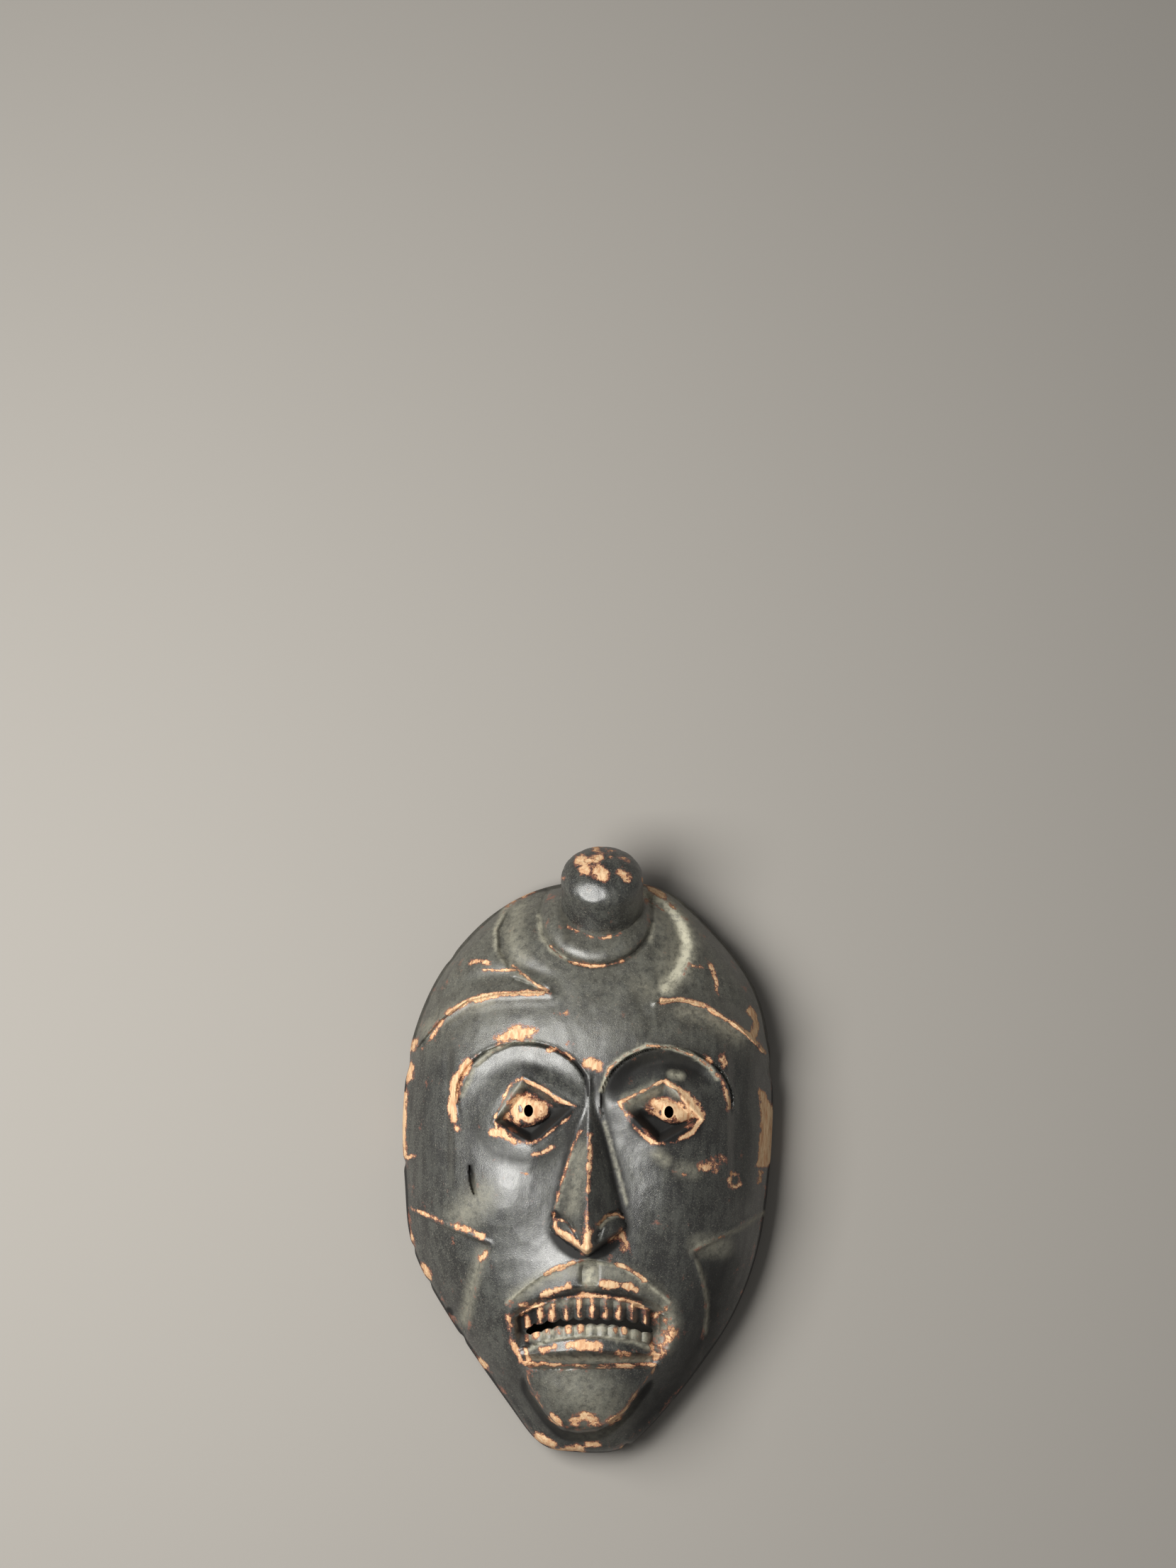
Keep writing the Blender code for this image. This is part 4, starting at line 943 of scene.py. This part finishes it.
def blackened_rubbed_wood(colours):
    """Light tropical wood, knife-carved, blackened and waxed, then rubbed bare on its edges.

    The wax gives the black a low satin sheen with soft pale lights; bare wood and dust are matt.
    Clouds are about 12 mm across, pores about 0.8 mm and the grain runs up the mask.
    """
    finish = bpy.data.materials.new("blackened_rubbed_wood")
    finish.use_nodes = True
    tree = finish.node_tree
    tree.nodes.clear()
    add = partial(add_node, tree)
    noise, sums, ramp, mix = "ShaderNodeTexNoise", "ShaderNodeMath", "ShaderNodeMapRange", "ShaderNodeMix"
    soft, blend = {"interpolation_type": "SMOOTHSTEP"}, {"output": 2, "data_type": "RGBA"}
    times, times_plus = {"operation": "MULTIPLY"}, {"operation": "MULTIPLY_ADD"}

    place = add("ShaderNodeTexCoord", {}, "Object")
    along = add("ShaderNodeMapping", {"Vector": place, "Scale": (1.0, 0.22, 1.0)})
    bare, dust_and_sheen, soot_and_shade, inner = (
        add("ShaderNodeAttribute", {}, "Fac", attribute_name=name)
        for name in ("bare", "dust_and_sheen", "soot_and_shade", "inner"))
    clouds, patches, ragged, pores, grit, grain, streaks = (
        add(noise, {"Vector": source, "Scale": scale, "Detail": detail, "Roughness": rough})
        for source, scale, detail, rough in (
            (place, 85.0, 3.0, 0.6), (place, 130.0, 2.0, 0.5), (place, 320.0, 6.0, 0.7),
            (place, 1150.0, 3.0, 0.6), (place, 2600.0, 2.0, 0.6), (along, 620.0, 4.0, 0.6),
            (along, 240.0, 5.0, 0.6)))

    # The black is thin and uneven: cloudy, streaked along the grain and speckled in the pores
    speckle = add(sums, {0: pores, 1: grit}, operation="ADD")
    worn = add(sums, {0: streaks, 1: 0.45}, **times)
    worn = add(sums, {0: speckle, 1: 0.42, 2: worn}, **times_plus)
    worn = add(sums, {0: clouds, 1: 0.30, 2: worn}, **times_plus)

    # Soot stays in the hollows together with painted shade on the places turned from the light, and dust
    # lies on the slopes where hands do not reach, with a painted sheen on the chin plate
    dirt = add(sums, {0: clouds, 1: 0.3, 2: soot_and_shade}, **times_plus)
    drift = add(ramp, {"Value": ragged, "From Min": 0.30, "From Max": 0.62, "To Min": 0.3}, **soft)
    dust_and_sheen_shows = add(sums, {0: dust_and_sheen, 1: drift}, use_clamp=True, **times)

    # The rubbing wavers at every scale, so that a worn edge comes and goes and has torn borders
    waver = add(sums, {0: patches, 1: 2.6, 2: -3.25}, **times_plus)
    for source, weight in ((ragged, 2.0), (pores, 1.0), (grain, 0.9)):
        waver = add(sums, {0: source, 1: weight, 2: waver}, **times_plus)
    nearby = add(ramp, {"Value": bare, "From Max": 0.6, "To Min": 0.45}, **soft)
    rubbed = add(sums, {0: waver, 1: nearby, 2: bare}, **times_plus)

    # How far each layer shows: from nothing at the low value to the most at the high one
    thin, flecks, soot_and_shade_shows, stained, bared, deeper, fibres, aging = (
        add(ramp, {"Value": source, "From Min": low, "From Max": high, "To Max": most}, **soft)
        for source, low, high, most in (
            (worn, 0.72, 0.88, 1.0), (speckle, 1.18, 1.32, 0.7), (dirt, 0.25, 0.95, 1.0),
            (rubbed, 0.26, 0.54, 0.8), (rubbed, 0.56, 0.70, 1.0), (rubbed, 0.66, 0.98, 1.0),
            (grain, 0.38, 0.68, 1.0), (grain, 0.30, 0.72, 1.0)))
    wood = add(mix, {0: fibres, 6: colours.bare, 7: colours.bare_dark}, **blend)
    wood = add(mix, {0: deeper, 6: colours.bare_dark, 7: wood}, **blend)

    # The hollow back was never blackened: it is plain wood, browned by age along the grain
    aged = add(mix, {0: aging, 6: colours.aged, 7: colours.aged_dark}, **blend)
    coat = colours.patina
    for shows, layer in ((thin, colours.patina_light), (flecks, colours.fleck), (soot_and_shade_shows, colours.soot_and_shade),
                         (dust_and_sheen_shows, colours.dust_and_sheen), (stained, colours.stain), (bared, wood), (inner, aged)):
        coat = add(mix, {0: shows, 6: coat, 7: layer}, **blend)

    waxed = add(ramp, {"Value": clouds, "From Min": 0.3, "From Max": 0.7, "To Min": 0.33, "To Max": 0.43})
    matt = add(sums, {0: soot_and_shade_shows, 1: 0.9}, **times)
    for other in (bared, dust_and_sheen_shows, inner):
        matt = add(sums, {0: matt, 1: other}, operation="MAXIMUM")
    roughness = add(ramp, {"Value": matt, "To Min": waxed, "To Max": 0.78})
    gloss = add(ramp, {"Value": matt, "To Min": 1.0, "To Max": 0.3})
    relief = add(sums, {0: grain, 1: 0.14}, **times)
    for source, weight in ((pores, 0.12), (grit, 0.27), (bared, -0.45)):
        relief = add(sums, {0: source, 1: weight, 2: relief}, **times_plus)
    bump = add("ShaderNodeBump", {"Strength": 0.8, "Distance": 0.0005, "Height": relief})
    shader = add("ShaderNodeBsdfPrincipled", {
        "Base Color": coat, "Roughness": roughness, "IOR": 1.6,
        "Specular IOR Level": gloss, "Normal": bump})
    add("ShaderNodeOutputMaterial", {"Surface": shader})
    return finish


def seamless_paper(colour):
    """Plain matt paper: an even pale ground with no sheen."""
    finish = bpy.data.materials.new("seamless_paper")
    finish.use_nodes = True
    shader = finish.node_tree.nodes["Principled BSDF"]
    shader.inputs["Base Color"].default_value = (*colour, 1.0)
    shader.inputs["Roughness"].default_value = 0.9
    shader.inputs["Specular IOR Level"].default_value = 0.2
    return finish


class MASK_OT_carve(bpy.types.Operator):
    """Carve the mask and give it its blackened, rubbed finish"""

    bl_idname = "mask.carve"
    bl_label = "Carved mask"
    bl_options = {"REGISTER", "UNDO"}

    columns: bpy.props.IntProperty(
        name="Columns", description="Fineness across the face", default=290, min=80, max=400)
    rows: bpy.props.IntProperty(
        name="Rows", description="Fineness up the face", default=450, min=120, max=600)
    triangles: bpy.props.IntProperty(
        name="Triangles", description="Most faces after thinning", default=186000, min=20000, max=198000)

    def execute(self, context):
        sizes = context.scene.mask_sizes
        shape = carved_block(sizes, self.columns, self.rows)
        carve(shape, topknot(sizes), "UNION")
        carve(shape, hollow_plug(sizes, columns=150, rows=230), "DIFFERENCE")
        shape.data.calc_loop_triangles()
        share = min(1.0, self.triangles / len(shape.data.loop_triangles))
        apply_modifier(shape, "fewer_faces", "DECIMATE", ratio=share, use_collapse_triangulate=True)
        for name, place in (("left_pupil", LEFT_PUPIL), ("right_pupil", RIGHT_PUPIL)):
            carve(shape, pupil(name, place, sizes), "DIFFERENCE")
        carve(shape, bite_opening(sizes), "DIFFERENCE")
        if len(shape.data.vertices) == 0:
            raise RuntimeError("the mask is empty after its cuts")
        fit_box(shape)
        mark_wear(shape, sizes)
        only(shape)
        bpy.ops.object.shade_smooth_by_angle(angle=math.radians(55.0))
        shape.data.materials.clear()
        shape.data.materials.append(blackened_rubbed_wood(context.scene.mask_colours))
        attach(shape, "root")
        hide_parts("mask")
        return {"FINISHED"}


def soft_light(name, place, size, power, colour):
    """A square soft box aimed at the middle of the mask."""
    bpy.ops.object.light_add(type="AREA", location=place)
    lamp = bpy.context.object
    lamp.name = name
    lamp.data.name = name
    lamp.data.shape = "SQUARE"
    lamp.data.size = size
    lamp.data.energy = power
    lamp.data.color = colour
    lamp.rotation_euler = (Vector((0.0, 0.0, 0.03)) - Vector(place)).to_track_quat("-Z", "Y").to_euler()


class MASK_OT_stage(bpy.types.Operator):
    """Lay the plain floor, and place the soft lights and the camera"""

    bl_idname = "mask.stage"
    bl_label = "Plain stage"
    bl_options = {"REGISTER", "UNDO"}

    def execute(self, context):
        stage = context.scene.mask_stage
        floor = new_shape("floor", bpy.ops.mesh.primitive_plane_add, size=8.0, location=(0, 0, 0))
        floor.data.materials.append(seamless_paper(stage.floor))
        soft_light("key_light", (-0.50, 0.09, 0.91), 0.66, stage.key_power, linear("#FFFEFA"))
        soft_light("fill_light", (0.9, -0.7, 1.1), 0.9, stage.fill_power, linear("#FFF6EA"))
        world = bpy.data.worlds.new("plain_room")
        world.use_nodes = True
        background = world.node_tree.nodes["Background"].inputs
        background["Color"].default_value = (*linear("#E9E9E7"), 1.0)
        background["Strength"].default_value = 0.20
        context.scene.world = world
        context.scene.view_settings.view_transform = "Standard"
        self.place_camera(context, stage.camera_height)
        return {"FINISHED"}

    def place_camera(self, context, height):
        """Look straight down, framed as the photograph: 1659 by 2212 pixels of 0.35 mm at the face."""
        frame_pixels, pixel, mask_row, face_level = 2212, 0.00035, 1623, 0.045
        bpy.ops.object.camera_add(location=(0.0, 0.0, height), rotation=(0.0, 0.0, 0.0))
        camera = context.object
        camera.data.sensor_width = 36.0
        camera.data.lens = 36.0 * (height - face_level) / (frame_pixels * pixel)
        camera.data.shift_y = (mask_row - 0.5 * frame_pixels) / frame_pixels
        context.scene.camera = camera


class MASK_PT_panel(bpy.types.Panel):
    """The mask's operators, sizes and colours"""

    bl_idname = "MASK_PT_panel"
    bl_label = "Carved mask"
    bl_space_type = "VIEW_3D"
    bl_region_type = "UI"
    bl_category = "Mask"

    def draw(self, context):
        scene = context.scene
        for operator, group in (("mask.carve", scene.mask_sizes), (None, scene.mask_colours),
                                ("mask.stage", scene.mask_stage)):
            box = self.layout.box()
            if operator:
                box.operator(operator)
            for name in group.__annotations__:
                box.prop(group, name)


GROUPS = (("mask_sizes", MaskSizes), ("mask_colours", MaskColours), ("mask_stage", MaskStage))
CLASSES = (MASK_OT_carve, MASK_OT_stage, MASK_PT_panel)


def register():
    for name, group in GROUPS:
        bpy.utils.register_class(group)
        setattr(bpy.types.Scene, name, bpy.props.PointerProperty(type=group))
    for made in CLASSES:
        bpy.utils.register_class(made)


def unregister():
    for made in reversed(CLASSES):
        bpy.utils.unregister_class(made)
    for name, group in reversed(GROUPS):
        delattr(bpy.types.Scene, name)
        bpy.utils.unregister_class(group)


def main():
    """Make the mask and its stage."""
    register()
    bpy.ops.mask.stage()
    bpy.ops.mask.carve()


if __name__ == "__main__":
    main()
